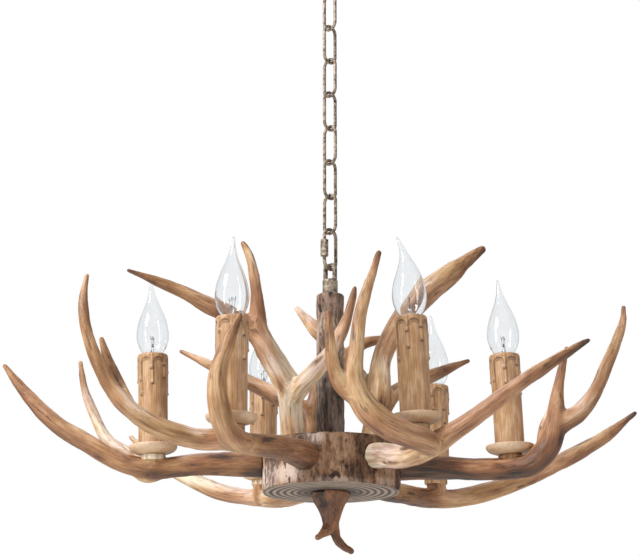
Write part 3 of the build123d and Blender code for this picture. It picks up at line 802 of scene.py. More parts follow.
armLevel = hubBottom + 25 * mm
seatRadius = hubRadius - 2.5 * mm
candleReach = 80 * mm  # the bulb's joint stands this far above the foot of its candle

# the boss under each candle: (depth below the candle's foot, radius), with a crisp disc on top
boss = {
    "stations": [(20, 10), (4, 11.2)],
    "disc": [(0, -6.0), (11.6, -6.0), (12.7, -5.0), (12.7, -1.2), (12.0, -0.2), (0, -0.2)],
}

# stations: inward are (share of the way from hub to candle, left, rise, radius), the others (outward from
# the candle, left, rise, radius) in mm; tones run from 0, charcoal, to 1, cream, along each branch
arms = {
    "arm_left": {
        "candle": 1, "butt": 180.0, "seed": 0.3, "disc": 0.88,
        "inward": [(0, 0, 4, 14), (0.39, -1, 5, 12.3), (0.7, 0, 3, 11.3)],
        "outward": [(3, 0, 0, 11.3), (34, -3, 8, 10), (66, -6, 26, 10), (99, -12, 46, 9.3),
                    (130, -18, 75, 7.5), (150, -21, 99, 4.5), (164, -23, 117, 2)],
        "tone": [(0, 0.16), (0.08, 0.36), (0.3, 0.48), (0.55, 0.44), (0.8, 0.46), (1, 0.40)],
        # the scars at the underside, near z -633, are painted shade along the beam's underside
        "scarsAndShade": [((-110, -11, -614), (17, 7, 5), 0.6), ((-82, -8, -633), (14, 8, 5), 0.25),
                  ((-160, -9, -633), (60, 6, 4), 0.25), ((-72, 0, -622), (5, 16, 16), 0.25)],
        "tines": [
            {"stations": [(-12, -6, 0, 9), (7, -18, 0, 12), (33, -40, 22, 9.4), (56, -50, 42, 6.3),
                          (70, -61, 70, 5.8), (82, -65, 100, 4.2), (88, -66, 132, 2)],
             "tone": [(0, 0.60), (0.3, 0.80), (0.8, 0.76), (1, 0.6)]},
        ],
    },
    "arm_front_left": {
        "candle": 2, "butt": -111.5, "seed": 1.1, "disc": 0.5,
        "inward": [(0, 0, 2, 15), (0.25, 3, 3, 13.5), (0.58, 7, 1, 11.5), (0.83, 7, -1, 10.5)],
        "outward": [(4, -1, 0, 11.3), (24, -19, -1, 10.3), (57, -42, 7, 9.8), (82, -64, 26, 8.3),
                    (94, -81, 55, 7), (100, -96, 92, 6), (98, -105, 130, 4.6), (91, -106, 159, 2)],
        "tone": [(0, 0.36), (0.2, 0.54), (0.45, 0.68), (0.7, 0.58), (0.9, 0.55), (1, 0.5)],
        "scarsAndShade": [((-26, -66, -622), (6, 6, 16), 0.35)],
        "tines": [
            {"stations": [(78, -58, 20, 6), (74, -78, 52, 4.7), (73, -97, 84, 4.5), (74, -102, 100, 2)],
             "tone": [(0, 0.58), (1, 0.52)]},
            {"stations": [(-12, 10, -2, 9), (14, 14, -3, 12), (35, 17, 4, 11.6), (46, 16, 26, 10.3),
                          (46, 15, 54, 9), (38, 20, 84, 7), (28, 29, 116, 2)],
             "tone": [(0, 0.55), (0.4, 0.56), (0.7, 0.50), (1, 0.40)]},
        ],
    },
    "arm_front_right": {
        "candle": 3, "butt": -51.0, "seed": 2.3, "disc": 0.62,
        "inward": [(0, 0, 3, 13), (0.5, 9, -5, 12), (0.89, 15, -6, 10.5)],
        "outward": [(10, 19, -1, 11), (31, 29, 9, 8.6), (63, 53, 33, 8), (89, 82, 58, 6.5),
                    (106, 110, 78, 4.2), (113, 125, 88, 2)],
        "tone": [(0, 0.98), (0.12, 0.88), (0.3, 0.60), (0.6, 0.68), (0.85, 0.56), (0.93, 0.35), (1, 0.15)],
        "scarsAndShade": [((45, -66, -618), (5, 5, 5), 0.35)],
        "tines": [
            {"stations": [(-2, 17, -6, 9), (16, 2, -4, 11.4), (20, -24, 0, 12.1), (17, -45, 9, 13),
                          (12, -62, 25, 13), (9, -71, 48, 10), (10, -69, 78, 7.2), (8, -64, 112, 6.3),
                          (5, -51, 150, 4.8), (3, -39, 182, 2)],
             "tone": [(0, 0.5), (0.3, 0.52), (0.55, 0.58), (0.75, 0.68), (0.9, 0.5), (1, 0.2)]},
            {"stations": [(11, -64, 26, 9), (3, -84, 47, 7.4), (4, -92, 70, 6), (4, -94, 95, 4.2),
                          (3, -95, 117, 2)],
             "from": 1, "tone": [(0, 0.55), (0.6, 0.6), (1, 0.5)]},
        ],
    },
    "arm_right": {
        "candle": 4, "butt": 0.0, "seed": 3.7, "disc": 0.25,
        "inward": [(0, 0, 1, 13.3), (0.37, 0, 1, 12.3), (0.73, -2, -1, 11.3)],
        "outward": [(0, -5, 0, 12.3), (18, -11, 2, 12), (37, -18, 20, 12.4), (44, -21, 42, 11.5),
                    (46, -23, 62, 8.2), (49, -26, 84, 5.2), (53, -28, 103, 4.6), (59, -30, 124, 2)],
        "tone": [(0, 0.18), (0.25, 0.33), (0.5, 0.37), (0.65, 0.45), (0.85, 0.41), (1, 0.43)],
        # the scars at the underside, near z -633, are painted shade along the beam's underside
        "scarsAndShade": [((233, -24, -598), (5, 5, 6), 0.45), ((190, -12, -632), (10, 6, 5), 0.3),
                  ((130, -9, -633), (60, 6, 4), 0.3)],
        "tines": [
            {"stations": [(40, -18, 32, 10), (52, -20, 44, 11), (68, -20, 53, 9.2), (84, -16, 72, 7.7),
                          (103, -8, 110, 6.7), (114, -3, 134, 5.5), (123, 3, 160, 3.6), (125, 6, 177, 2)],
             "tone": [(0, 0.5), (0.3, 0.58), (0.7, 0.62), (0.93, 0.5), (1, 0.25)]},
            {"stations": [(34, -14, 24, 9), (36, -6, 42, 7), (41, -8, 58, 4.5), (44, -14, 70, 2)],
             "tone": [(0, 0.6), (1, 0.85)]},
        ],
    },
    "arm_back_right": {
        "candle": 5, "butt": 52.0, "seed": 4.2, "disc": 0.5,
        "inward": [(0, 0, -12, 10.5), (0.46, 2, -10, 10.8)],
        "outward": [(-8, 3, -8, 11), (29, -12, -4, 10.6), (55, -35, 5, 10.5), (76, -62, 17, 10),
                    (100, -113, 41, 9), (111, -150, 60, 7.6), (120, -190, 87, 2)],
        "tone": [(0, 0.40), (0.3, 0.52), (0.6, 0.58), (0.85, 0.5), (0.95, 0.3), (1, 0.15)],
        "tines": [],
    },
    "arm_back_left": {
        "candle": 6, "butt": 107.7, "seed": 5.9, "disc": 0.7,
        "inward": [(0, 0, -12, 9.6), (0.57, -3, -11, 10.9)],
        "outward": [(-2, -2, -6, 10.5), (28, 10, -1, 9), (59, 28, 8, 9.6), (91, 58, 29, 9),
                    (112, 88, 50, 7.5), (130, 115, 79, 2)],
        "tone": [(0, 0.6), (0.3, 0.82), (0.7, 0.85), (1, 0.7)],
        "tines": [],
    },
}


def candleMatrix(number):
    joint = joints[f"unscrew_bulb_{number}"]
    axis = Vector(joint["axis"]).normalized()
    foot = Vector(joint["pos_m"]) - axis * candleReach
    return Matrix.Translation(foot) @ Vector((0, 0, 1)).rotation_difference(axis).to_matrix().to_4x4()


def buildArm(name, arm):
    matrix = candleMatrix(arm["candle"])
    foot = matrix.translation
    azimuth = math.atan2(foot.y, foot.x)
    reach = math.hypot(foot.x, foot.y)
    outward = Vector((math.cos(azimuth), math.sin(azimuth), 0))
    left = Vector((-outward.y, outward.x, 0))
    butt = math.radians(arm["butt"])
    heading = Vector((math.cos(butt), math.sin(butt), 0))
    seat = heading * seatRadius + Vector((0, 0, armLevel))
    candle = outward * reach + Vector((0, 0, armLevel))

    def fromCandle(stations):
        placed = []
        for out, side, rise, radius in stations:
            level = Vector((0, 0, armLevel + rise * mm))
            placed.append((outward * (reach + out * mm) + left * side * mm + level, radius * mm))
        return placed

    beam = []
    for share, side, rise, radius in arm["inward"]:
        place = seat.lerp(candle, share) + left * side * mm + Vector((0, 0, rise * mm))
        beam.append((place, radius * mm))
    beam += fromCandle(arm["outward"])
    branches = [{"stations": beam, "heading": np.array(heading), "tone": arm["tone"]}]
    for tine in arm["tines"]:
        branches.append({**tine, "stations": fromCandle(tine["stations"])})
    down = matrix.to_3x3() @ Vector((0, 0, -1))
    stations = [(foot + down * depth * mm, radius * mm) for depth, radius in boss["stations"]]
    branches.append({"stations": stations, "flat": True, "tone": [(0, 0.5), (1, arm["disc"])]})
    piece = growAntler(name, branches, arm["seed"], arm.get("scarsAndShade", ()))
    carveAntler(piece)
    disc = turnProfile(f"{name}Disc", boss["disc"], 64)
    writeSurface(disc.data, getVectors(disc.data), 0.0, 0.0)
    writeAttribute(disc.data, "tone", np.full(len(disc.data.vertices), arm["disc"]))
    disc.data.transform(matrix)
    piece = joinPieces([piece, disc], name)
    finishPiece(piece, antlerMaterial, "lamp", [name], "antler", 60)


for name, arm in arms.items():
    buildArm(name, arm)
    print(name, "made")


# antlers standing on the hub

# base: azimuth and distance in from the hub's edge; stations: offsets along X and Y, height over the hub and
# radius
crowns = {
    "crown_front": {
        "azimuth": -136.0, "inset": 18.5, "seed": 7.1,
        "scarsAndShade": [((-49, -64, -545), (5, 5, 17), 0.5)],
        "branches": [
            {"stations": [(0, 0, 0, 12.5), (-2, -9, 27, 12), (-3, -15, 46, 14), (-13, -23, 64, 13),
                          (-26, -31, 84, 12.5), (-35, -35, 104, 11), (-36, -39, 124, 7.6),
                          (-38, -42, 150, 5.6), (-45, -45, 180, 5), (-53, -45, 196, 2)],
             "tone": [(0, 0.80), (0.12, 1.0), (0.38, 0.98), (0.5, 0.70), (0.6, 0.48), (0.75, 0.52),
                      (0.95, 0.62), (1, 0.45)]},
            {"stations": [(-27, -31, 84, 10), (-40, -35, 102, 10.5), (-58, -39, 114, 10),
                          (-83, -47, 125, 8.7), (-113, -55, 139, 6.8), (-143, -61, 150, 4.3),
                          (-168, -65, 159, 2)],
             "tone": [(0, 0.62), (0.2, 0.48), (0.8, 0.47), (1, 0.30)]},
            {"stations": [(-2, -13, 36, 11), (9, -27, 48, 10), (22, -41, 59, 9), (39, -61, 77, 7.4),
                          (50, -71, 96, 6), (59, -75, 124, 4), (63, -75, 141, 2)],
             "tone": [(0, 0.92), (0.3, 0.94), (0.55, 0.88), (0.8, 0.60), (0.92, 0.35), (1, 0.15)]},
        ],
    },
    "crown_right": {
        "azimuth": 10.5, "inset": 27.8, "seed": 8.4,
        "scarsAndShade": [((53, 1, -565), (5, 6, 16), 0.55), ((134, 74, -393), (9, 9, 7), 0.3)],
        "branches": [
            {"stations": [(0, 0, 0, 13), (3, 2, 20, 12.5), (7, 6, 50, 13.5), (12, 22, 97, 10.6),
                          (27, 36, 133, 11.8), (60, 52, 176, 14), (93, 63, 206, 12), (102, 66, 214, 8.6),
                          (118, 72, 228, 6), (130, 76, 237, 3.4)],
             "tone": [(0, 0.52), (0.3, 0.64), (0.6, 0.62), (0.85, 0.55), (0.95, 0.4), (1, 0.18)]},
            {"stations": [(6, 4, 26, 9), (24, 26, 60, 8.4), (44, 42, 75, 8.5), (68, 62, 89, 7.6),
                          (88, 80, 101, 5), (113, 96, 114, 2)],
             "tone": [(0, 0.5), (0.5, 0.58), (0.9, 0.45), (1, 0.18)]},
            {"stations": [(5, 6, 42, 8), (-11, 24, 78, 8.5), (-27, 32, 99, 8.5), (-56, 40, 132, 8.6),
                          (-70, 44, 148, 5.4), (-82, 46, 163, 2)],
             "tone": [(0, 0.5), (0.5, 0.64), (1, 0.78)]},
        ],
    },
    "crown_back": {
        "azimuth": 116.6, "inset": 26.8, "seed": 9.2,
        "branches": [
            {"stations": [(0, 0, 0, 9), (0, 2, 25, 8), (-4, 7, 41, 9), (-14, 13, 51, 9.6),
                          (-34, 24, 63, 9.7), (-56, 38, 77, 8.7), (-83, 52, 93, 7.6),
                          (-117, 66, 111, 5.5), (-149, 76, 128, 2)],
             "tone": [(0, 0.42), (0.4, 0.55), (0.8, 0.62), (1, 0.5)]},
            {"stations": [(-1, 4, 34, 7), (7, 14, 69, 8.5), (23, 22, 95, 8.6), (42, 30, 114, 7.6),
                          (58, 38, 126, 6.5), (75, 46, 132, 5.2), (97, 56, 138, 2)],
             "tone": [(0, 0.48), (0.5, 0.58), (1, 0.45)]},
        ],
    },
}


def buildCrown(name, crown):
    azimuth = math.radians(crown["azimuth"])
    reach = hubRadius - crown["inset"] * mm
    base = Vector((reach * math.cos(azimuth), reach * math.sin(azimuth), hubTop))
    branches = []
    for branch in crown["branches"]:
        stations = [(base + Vector((x, y, z)) * mm, radius * mm) for x, y, z, radius in branch["stations"]]
        branches.append({**branch, "stations": stations})
    branches[0]["heading"] = np.array((0.0, 0.0, 1.0))
    piece = growAntler(name, branches, crown["seed"], crown.get("scarsAndShade", ()))
    carveAntler(piece)
    finishPiece(piece, antlerMaterial, "lamp", [name], "antler", 60)


for name, crown in crowns.items():
    buildCrown(name, crown)
    print(name, "made")


# hub, its cover, the stem and the finial

hub = {
    "ringSpacing": 7.2, "ringDepth": 0.8,
    # waves that pull the rings and the bark from true circles: (height, how many, start in radians)
    "ringWaves": [(1.0, 2, 0.4), (0.5, 3, 2.0)],
    "barkWaves": [(0.6, 3, 0.7), (0.5, 5, 2.1), (0.3, 8, 0.0)], "barkInset": 1.4,
    # the hub's opening for its cover, and the cover in it
    "joint": 60.2, "coverRadius": 59.7, "coverHeight": 5.5,
    "carving": {"swell": 0.8 * mm, "groove": 0.5 * mm, "crack": 1.3 * mm},
    # patches of paler bark: (direction in degrees, height, reach in degrees, reach in height, amount)
    "patches": [(-156, 12, 18, 14, 0.95), (-128, 12, 16, 10, 0.80), (-104, 45, 9, 7, 0.85),
                (-84, 2, 22, 3, 0.5), (-36, 4, 12, 5, 0.30), (125, 20, 30, 15, 0.5)],
    "stops": [
        (0.14, (0.038, 0.020, 0.012)),
        (0.40, (0.130, 0.062, 0.030)),
        (0.64, (0.255, 0.132, 0.068)),
        (0.94, (0.42, 0.255, 0.155)),
    ],
    "scale": 125.0, "stretch": (1.0, 1.0, 0.42), "broad": 0.55, "fine": 0.15, "relief": 0.13,
    "dash": 0.75, "dashColour": (0.028, 0.016, 0.011),
    "pale": (0.68, 0.545, 0.455), "paleDark": (0.20, 0.125, 0.100), "roughness": 0.68, "bump": 0.5 * mm,
}


def addWaves(waves, angle):
    return sum(height * np.sin(number * angle + start) for height, number, start in waves)


# saw-cut rings: pale ridges between narrow grooves, wandering a little from true circles
def carveRings(piece, height, depth):
    places = getVectors(piece.data)
    radius, angle = roundAxis(places)
    inside = 1 - smoothStep(60, 70, radius)
    wander = radius + inside * addWaves(hub["ringWaves"], angle)
    flat = np.abs(places[:, 2] - height) < 0.3 * mm
    ridge = (0.5 + 0.5 * np.cos(2 * math.pi * wander / hub["ringSpacing"]))**0.5
    ridge = np.where(flat, np.maximum(ridge, smoothStep(67.5, 69, radius)), 1.0)
    away = np.sign(height - (hubTop + hubBottom) / 2)
    places[:, 2] -= np.where(flat, away * depth * mm * (1 - ridge), 0)
    setPlaces(piece.data, places)
    # painted shade: the end grain darkens round the finial's foot, inside 25 mm; the grooves are darker than
    # the ridges, partly as the rings' own colour and partly as painted shade; the grain also darkens towards
    # the middle, inside 44 mm
    shade = ridge * (0.1 + 0.45 * smoothStep(19, 25, radius) + 0.45 * smoothStep(26, 44, radius))
    writeAttribute(piece.data, "ringsAndShade", np.where(flat, shade, 0.2))
    return flat


ringLook = {
    "stops": [
        (0.05, (0.034, 0.023, 0.017)),
        (0.40, (0.098, 0.068, 0.049)),
        (0.70, (0.215, 0.157, 0.116)),
        (1.0, (0.38, 0.296, 0.228)),
    ],
    "scale": 90, "roughness": 0.7, "bump": 0.3 * mm,
}


# colour and height of sawn wood, read from the stored rings and their painted shade
def makeRingGroup():
    outputs = {"Color": "Color", "Height": "Float"}
    group, nodes, links = newGroup("sawnRings", "ShaderNodeTree", {}, outputs)
    end = nodes.new("NodeGroupOutput")
    rough = addSpeckle(nodes, links, ringLook["scale"], 4)
    spread = addMath(nodes, links, "MULTIPLY_ADD", rough, 0.5, -0.25)
    value = addMath(nodes, links, "ADD", addStored(nodes, "ringsAndShade"), spread)
    links.new(addRamp(nodes, links, value, ringLook["stops"]), end.inputs["Color"])
    links.new(rough, end.inputs["Height"])
    return group


ringGroup = makeRingGroup()


def makeHubMaterial():
    material, nodes, links, shader = newMaterial("hubBark")
    colour, height = addGrainColour(nodes, links, hub)
    pale = addMix(nodes, links, addRange(nodes, links, height, 0.12, 0.62), hub["paleDark"], hub["pale"])
    colour = addMix(nodes, links, addStored(nodes, "pale"), colour, pale)
    rings = addGroup(nodes, ringGroup)
    colour = addMix(nodes, links, addStored(nodes, "sawn"), colour, rings["Color"])
    links.new(colour, shader.inputs["Base Color"])
    shader.inputs["Roughness"].default_value = hub["roughness"]
    addBump(nodes, links, shader, height, hub["bump"])
    return material


def makeRingMaterial():
    material, nodes, links, shader = newMaterial("sawnCover")
    rings = addGroup(nodes, ringGroup)
    links.new(rings["Color"], shader.inputs["Base Color"])
    shader.inputs["Roughness"].default_value = ringLook["roughness"]
    addBump(nodes, links, shader, rings["Height"], ringLook["bump"])
    return material


def buildHub():
    bottom, top, outer = hubBottom / mm, hubTop / mm, hubRadius / mm
    joint = hub["joint"]
    profile = [(0, top), (outer - 2, top), (outer, top - 2), (outer, bottom + 1), (outer - 1, bottom),
               (joint, bottom), (joint, bottom + 5)]
    piece = turnProfile("hubLog", finerProfile(profile, 1.1), 320)
    places = getVectors(piece.data)
    radius, angle = roundAxis(places)
    height = places[:, 2] / mm - bottom
    side = smoothStep(outer - 2.2, outer - 0.8, radius)
    flat = carveRings(piece, hubBottom, hub["ringDepth"]) & (radius < outer - 0.5)
    cracked = 0.25 + 1.1 * (1 - smoothStep(14, 30, height))
    writeSurface(piece.data, places - np.array((0, 0, hubBottom)), side * (1 - flat), cracked)
    writeAttribute(piece.data, "sawn", np.where(flat, 1.0, 0.0))
    pale = np.zeros(len(places))
    for direction, level, reach, tall, amount in hub["patches"]:
        apart = ((np.degrees(angle) - direction + 180) % 360 - 180) / reach
        pale = np.maximum(pale, amount * np.exp(-(apart**2 + ((height - level) / tall)**2)**2))
    writeAttribute(piece.data, "pale", pale * side)
    places = getVectors(piece.data)
    lobes = addWaves(hub["barkWaves"], angle) - hub["barkInset"]
    places[:, :2] *= (1 + side * lobes * mm / hubRadius)[:, None]
    setPlaces(piece.data, places)
    carve(piece, hub["scale"], hub["stretch"], **hub["carving"])
    finishPiece(piece, makeHubMaterial(), "lamp", ["hub"], "log", 60)


def buildCover():
    bottom = hubBottom / mm
    radius, top = hub["coverRadius"], bottom + hub["coverHeight"]
    profile = [(0, top), (radius, top), (radius, bottom), (0, bottom)]
    piece = turnProfile("hubCover", finerProfile(profile, 0.9), 200)
    carveRings(piece, hubBottom, hub["ringDepth"])
    finishPiece(piece, makeRingMaterial(), "lamp", ["hub_cover"], "log_end", 60)


# painted shade of the antlers round the stem's foot: the bark is darkened up to shadeFrom over the foot, and
# the shade fades out at shadeTo
stem = {"bore": 5.8, "radius": 14.3, "edgeRadius": 13.4, "edge": 1.2, "shadeFrom": 55, "shadeTo": 110}


def buildStem():
    low, high = stemLow.z / mm, stemHigh.z / mm
    bore, radius = stem["bore"], stem["radius"]
    profile = [(bore, low), (radius, low), (radius, high - stem["edge"]), (stem["edgeRadius"], high),
               (bore, high)]
    piece = turnProfile("stemBark", finerProfile(profile, 0.9), 110)
    places = getVectors(piece.data)
    height = places[:, 2] / mm
    writeSurface(piece.data, places - np.array((0, 0, stemLow.z)), height < high - 0.3)
    shade = 1 - smoothStep(low + stem["shadeFrom"], low + stem["shadeTo"], height)
    writeAttribute(piece.data, "shade", shade)
    carve(piece, stemLook["scale"], stemLook["stretch"], **stemLook["carving"])
    finishPiece(piece, stemMaterial, "lamp", ["stem"], "bark", 60)


# branches of the finial: offsets along X and Y, height from the hub's underside and radius; the knots are
# scars, at places in the frame
finial = {
    "seed": 11.0, "voxel": 0.8 * mm, "tip": 1.4 * mm, "scale": 130.0, "stretch": (1.0, 1.0, 0.35),
    "carving": {"swell": 1.0 * mm, "groove": 0.45 * mm, "crack": 0.8 * mm},
    "branches": [
        {"stations": [(0, 0, -0.5, 20.6), (0, 0, -5, 20.2), (0, 0, -9.5, 17.2), (0, 0, -14, 13.8),
                      (0, 0, -20, 11.0), (0, 0, -27, 9.4), (-2, -1, -35, 7.6), (-6, -4, -42, 5.4),
                      (-11.5, -6.2, -47, 3.4), (-17, -8, -49.5, 1.4)],
         "tone": [(0, 0.22), (0.25, 0.27), (0.6, 0.28), (0.8, 0.38), (1, 0.48)]},
        {"stations": [(1, 1, -26, 6), (4, 2, -40, 5.4), (10, 1, -52, 4.8), (17, -0.6, -58.4, 3.7),
                      (22.5, -2, -62.4, 1.8)],
         "tone": [(0, 0.25), (0.6, 0.36), (0.85, 0.33), (1, 0.22)]},
    ],
    "knots": [((-12, -14, -661), (5, 5, 5), 0.12), ((9, -17, -663), (6, 6, 4), 0.12)],
}


def buildFinial():
    branches = []
    for branch in finial["branches"]:
        stations = []
        for x, y, z, radius in branch["stations"]:
            stations.append((Vector((x * mm, y * mm, hubBottom + z * mm)), radius * mm))
        branches.append({**branch, "stations": stations})
    piece = growAntler(
        "finialAntler", branches, finial["seed"], finial["knots"], finial["voxel"], finial["tip"])
    carve(piece, finial["scale"], finial["stretch"], **finial["carving"])
    keepInside(piece)
    finishPiece(piece, antlerMaterial, "lamp", ["finial"], "antler_dark", 60)


buildHub()
buildCover()
buildStem()
buildFinial()
print("hub, cover, stem and finial made")


# candles

# heights over the foot of the candle
candle = {
    "floor": 5.2, "rim": 106.0, "radius": 15.1, "inside": 12.8, "lip": 10.5,
    # arches under the rim: how many, the height of their tops, and how far their sides drop
    "arches": 7, "archTop": 100.2, "archDrop": 10.0, "archStep": 2.3,
    # drips run down between the arches: (direction in arches, height of the bead, half width)
    "stepHeight": 0.5, "innerStepHeight": 0.35, "dripHeight": 1.15, "beadHeight": 1.9,
    "drips": [(-0.5, 89, 1.3), (-0.46, 73, 0.9), (0.5, 93, 1.4), (0.58, 80, 1.2), (1.5, 86, 1.4),
              (1.56, 63, 1.1), (2.5, 91, 1.3), (2.44, 72, 1.1), (3.5, 84, 1.4), (-2.5, 92, 1.3),
              (-2.42, 76, 1.1), (-1.5, 77, 1.3), (-1.42, 62, 1.0)],
}


def buildSleeve():
    c = candle
    inner, outer, rim = c["inside"], c["radius"], c["rim"]
    profile = [(inner, c["floor"]), (outer, c["floor"]), (outer, rim - 2.6), (outer - 0.7, rim - 0.9),
               (outer - 2.4, rim - 0.1), (c["lip"] + 0.6, rim - 0.1), (c["lip"], rim - 0.8),
               (c["lip"], rim - 3), (inner, rim - 3.4)]
    piece = turnProfile("sleevePattern", finerProfile(profile, 0.8, True), 180, True)
    places = getVectors(piece.data)
    radius, angle = roundAxis(places)
    turned = np.degrees(angle)
    height = places[:, 2] / mm
    outside = smoothStep(inner + 0.5, outer - 0.2, radius) * smoothStep(c["floor"], c["floor"] + 2, height)
    # two steps of wax, one inside the other, that hang in arches
    pitch = 360 / c["arches"]
    share = np.abs((turned / pitch + 0.5) % 1 * 2 - 1)
    edge = c["archTop"] - c["archDrop"] * share**3.5
    innerEdge = c["archTop"] - c["archStep"] - c["archDrop"] * np.minimum(share / 0.84, 1.5)**3.5
    push = c["stepHeight"] * smoothStep(-0.5, 0.5, height - edge)
    push += c["innerStepHeight"] * smoothStep(-0.5, 0.5, height - innerEdge)
    # painted shade: a dark line under the edge of each wax step
    paintedShade = np.exp(-((height - edge + 0.3) / 0.8)**2) * (share < 0.93)
    paintedShade = np.maximum(paintedShade, 0.75 * np.exp(-((height - innerEdge + 0.3) / 0.7)**2) * (share < 0.8))
    # drips run down between the arches and end in beads; painted shade goes under each bead and along one
    # side of each drip
    for direction, foot, width in c["drips"]:
        across = ((turned - direction * pitch + 180) % 360 - 180) / 360 * 2 * math.pi * outer
        run = smoothStep(foot - 0.6, foot + 1, height) * (1 - smoothStep(97, 104, height))
        run = c["dripHeight"] * np.exp(-((across / width)**4)) * run
        bead = c["beadHeight"] * np.exp(-((across / (width + 0.7))**2) - ((height - foot - 1.2) / 1.6)**2)
        push = np.maximum(push, np.maximum(run, bead))
        beadShade = np.exp(-((across / (width + 0.9))**4) - ((height - foot + 1.2) / 1.0)**2)
        paintedShade = np.maximum(paintedShade, beadShade)
        dripSideShade = np.exp(-(((across - width - 0.5) / 0.45)**2))
        paintedShade = np.maximum(paintedShade, 0.55 * dripSideShade * smoothStep(foot, foot + 1.5, height) * (height < 98))
    places[:, :2] *= (1 + outside * push / np.maximum(radius, 1))[:, None]
    setPlaces(piece.data, places)
    # only the outside is carved, so the bore keeps its room for the socket
    writeSurface(piece.data, places, outside, 0.2)
    writeAttribute(piece.data, "paintedShade", paintedShade * outside)
    carve(piece, candleLook["scale"], candleLook["stretch"], **candleLook["carving"])
    return piece


panProfile = [(5.3, 0.05), (11.8, 0.05), (12.4, 0.4), (16.5, 1.4), (21.0, 3.0), (23.6, 4.8), (24.85, 7.4),
              (24.95, 9.3), (24.5, 9.95), (23.8, 9.7), (22.4, 7.6), (19.6, 5.8), (16.8, 5.1), (5.3, 5.0)]


def buildPan():
    piece = turnProfile("panPattern", panProfile, 96, True)
    subdivide(piece)
    writeSurface(piece.data, getVectors(piece.data))
    return piece


bulb = {
    "outline": [(6.2, 99.2), (7.2, 102), (9.2, 105), (9.9, 106.2), (11.9, 109), (13.9, 112.5), (15.6, 117),
                (16.7, 122.5), (16.9, 127), (16.5, 131.5), (15.6, 137), (14.2, 142.5), (12.3, 148),
                (10.2, 153.2), (8.0, 158.5), (6.0, 163.5), (4.4, 168.5), (3.3, 173), (2.6, 177.5),
                (2.0, 181.5), (1.5, 184.6), (0.9, 186.3), (0, 186.7)],
    "wall": 0.7,
    # how far the tip leans, in mm, and where to, in degrees
    "tips": [(2.0, 200), (1.5, 20), (9.0, 178), (2.5, 160), (3.0, 200), (3.0, 40)],
    "tipStart": 146.0,
}


def buildGlass(number, matrix):
    piece = turnProfile(f"bulbGlass{number}", bulb["outline"], 56)
    subdivide(piece)
    places = getVectors(piece.data)
    lean, direction = bulb["tips"][number - 1]
    share = np.clip((places[:, 2] / mm - bulb["tipStart"]) / 40, 0, 1.1)
    places[:, 0] += lean * mm * share**2 * math.cos(math.radians(direction))
    places[:, 1] += lean * mm * share**2 * math.sin(math.radians(direction))
    setPlaces(piece.data, places)
    applyModifier(piece, "SOLIDIFY", thickness=bulb["wall"] * mm, offset=-1)
    piece.data.transform(matrix)
    nodes = [f"bulb_glass_{number}"]
    finishPiece(piece, glassMaterial, f"bulb_{number}", nodes, "clear_glass", 80)


# inside a bulb: a glass stem, lead wires, a filament slung between them and a dark pinch, places in mm
filament = {
    "stem": [(0, 99.5), (3.6, 99.5), (3.4, 104), (2.4, 109), (1.7, 113), (1.9, 115), (0, 115.4)],
    "wires": [
        [(-1.2, 0, 102), (-1.8, 0, 110), (-4.4, 0.3, 119), (-6.9, 0.6, 128)],
        [(1.2, 0, 102), (1.8, 0, 110), (3.8, -0.4, 117), (5.2, -0.8, 123)],
        [(-6.9, 0.6, 128), (-3.4, 0.3, 123), (0.2, 0, 125.5), (3.0, -0.4, 121), (5.2, -0.8, 123)],
        [(0, 0, 115), (0.1, 0, 120), (0.2, 0, 125.5)],
    ],
    "wireRadius": 0.2,
    "pinch": [(0.2, -0.3, 113.6), (0.3, -0.3, 115.4), (0.4, -0.3, 117.2)],
    "pinchRadius": 0.75,
}


def buildBulbStem():
    piece = turnProfile("bulbStemPattern", filament["stem"], 24)
    subdivide(piece)
    return piece


def buildBulbWires():
    strands = [(wire, filament["wireRadius"]) for wire in filament["wires"]]
    strands.append((filament["pinch"], filament["pinchRadius"]))
    wires = []
    for strand, radius in strands:
        path = smoothPath([(Vector(place) * mm, radius * mm) for place in strand], spacing=1.0 * mm)
        wires.append(tubeAlong(path, "bulbWire", 2))
    return joinPieces(wires, "bulbWiresPattern")


# the cap: a contact at its foot, a thread of even ridges and a collar
bulbCap = {
    "foot": [(0, 74.5), (2.6, 74.5), (2.9, 75.4), (2.9, 76.2), (6.0, 77.2)],
    "collar": [(6.5, 96.0), (6.6, 97.0), (0, 97.1)],
    "threadFoot": 78.6, "threadStep": 1.3, "threadPoints": 13, "crest": 6.7, "root": 6.1,
}


def buildCap():
    thread = []
    for index in range(bulbCap["threadPoints"]):
        radius = bulbCap["crest"] if index % 2 else bulbCap["root"]
        thread.append((radius, bulbCap["threadFoot"] + bulbCap["threadStep"] * index))
    piece = turnProfile("capPattern", bulbCap["foot"] + thread + bulbCap["collar"], 48)
    subdivide(piece)
    return piece


sleevePattern = buildSleeve()
panPattern = buildPan()
capPattern = buildCap()
stemPattern = buildBulbStem()
wiresPattern = buildBulbWires()
# each candle is turned its own way; the third shows an arch in front
candleTurns = [-62, -115, -82, -70, 25, 140]
for n, turn in enumerate(candleTurns, start=1):
    matrix = candleMatrix(n)
    spin = matrix @ Matrix.Rotation(math.radians(turn), 4, "Z")
    body = f"bulb_{n}"
    sleeveNodes = [f"candle_sleeve_{n}"]
    placeCopy(sleevePattern, f"candleSleeve{n}", spin, candleMaterial, "lamp", sleeveNodes, "candle", 50)
    placeCopy(panPattern, f"candlePan{n}", spin, panMaterial, "lamp", [f"candle_pan_{n}"], "pan", 50)
    placeCopy(capPattern, f"bulbCap{n}", spin, metals["nickelCap"], body, [f"bulb_cap_{n}"], "cap", 50)
    buildGlass(n, matrix)
    placeCopy(stemPattern, f"bulbStem{n}", spin, glassMaterial, body, [], "clear_glass", 80)
    placeCopy(wiresPattern, f"bulbWires{n}", spin, metals["filamentWire"], body, [], "steel", 80)
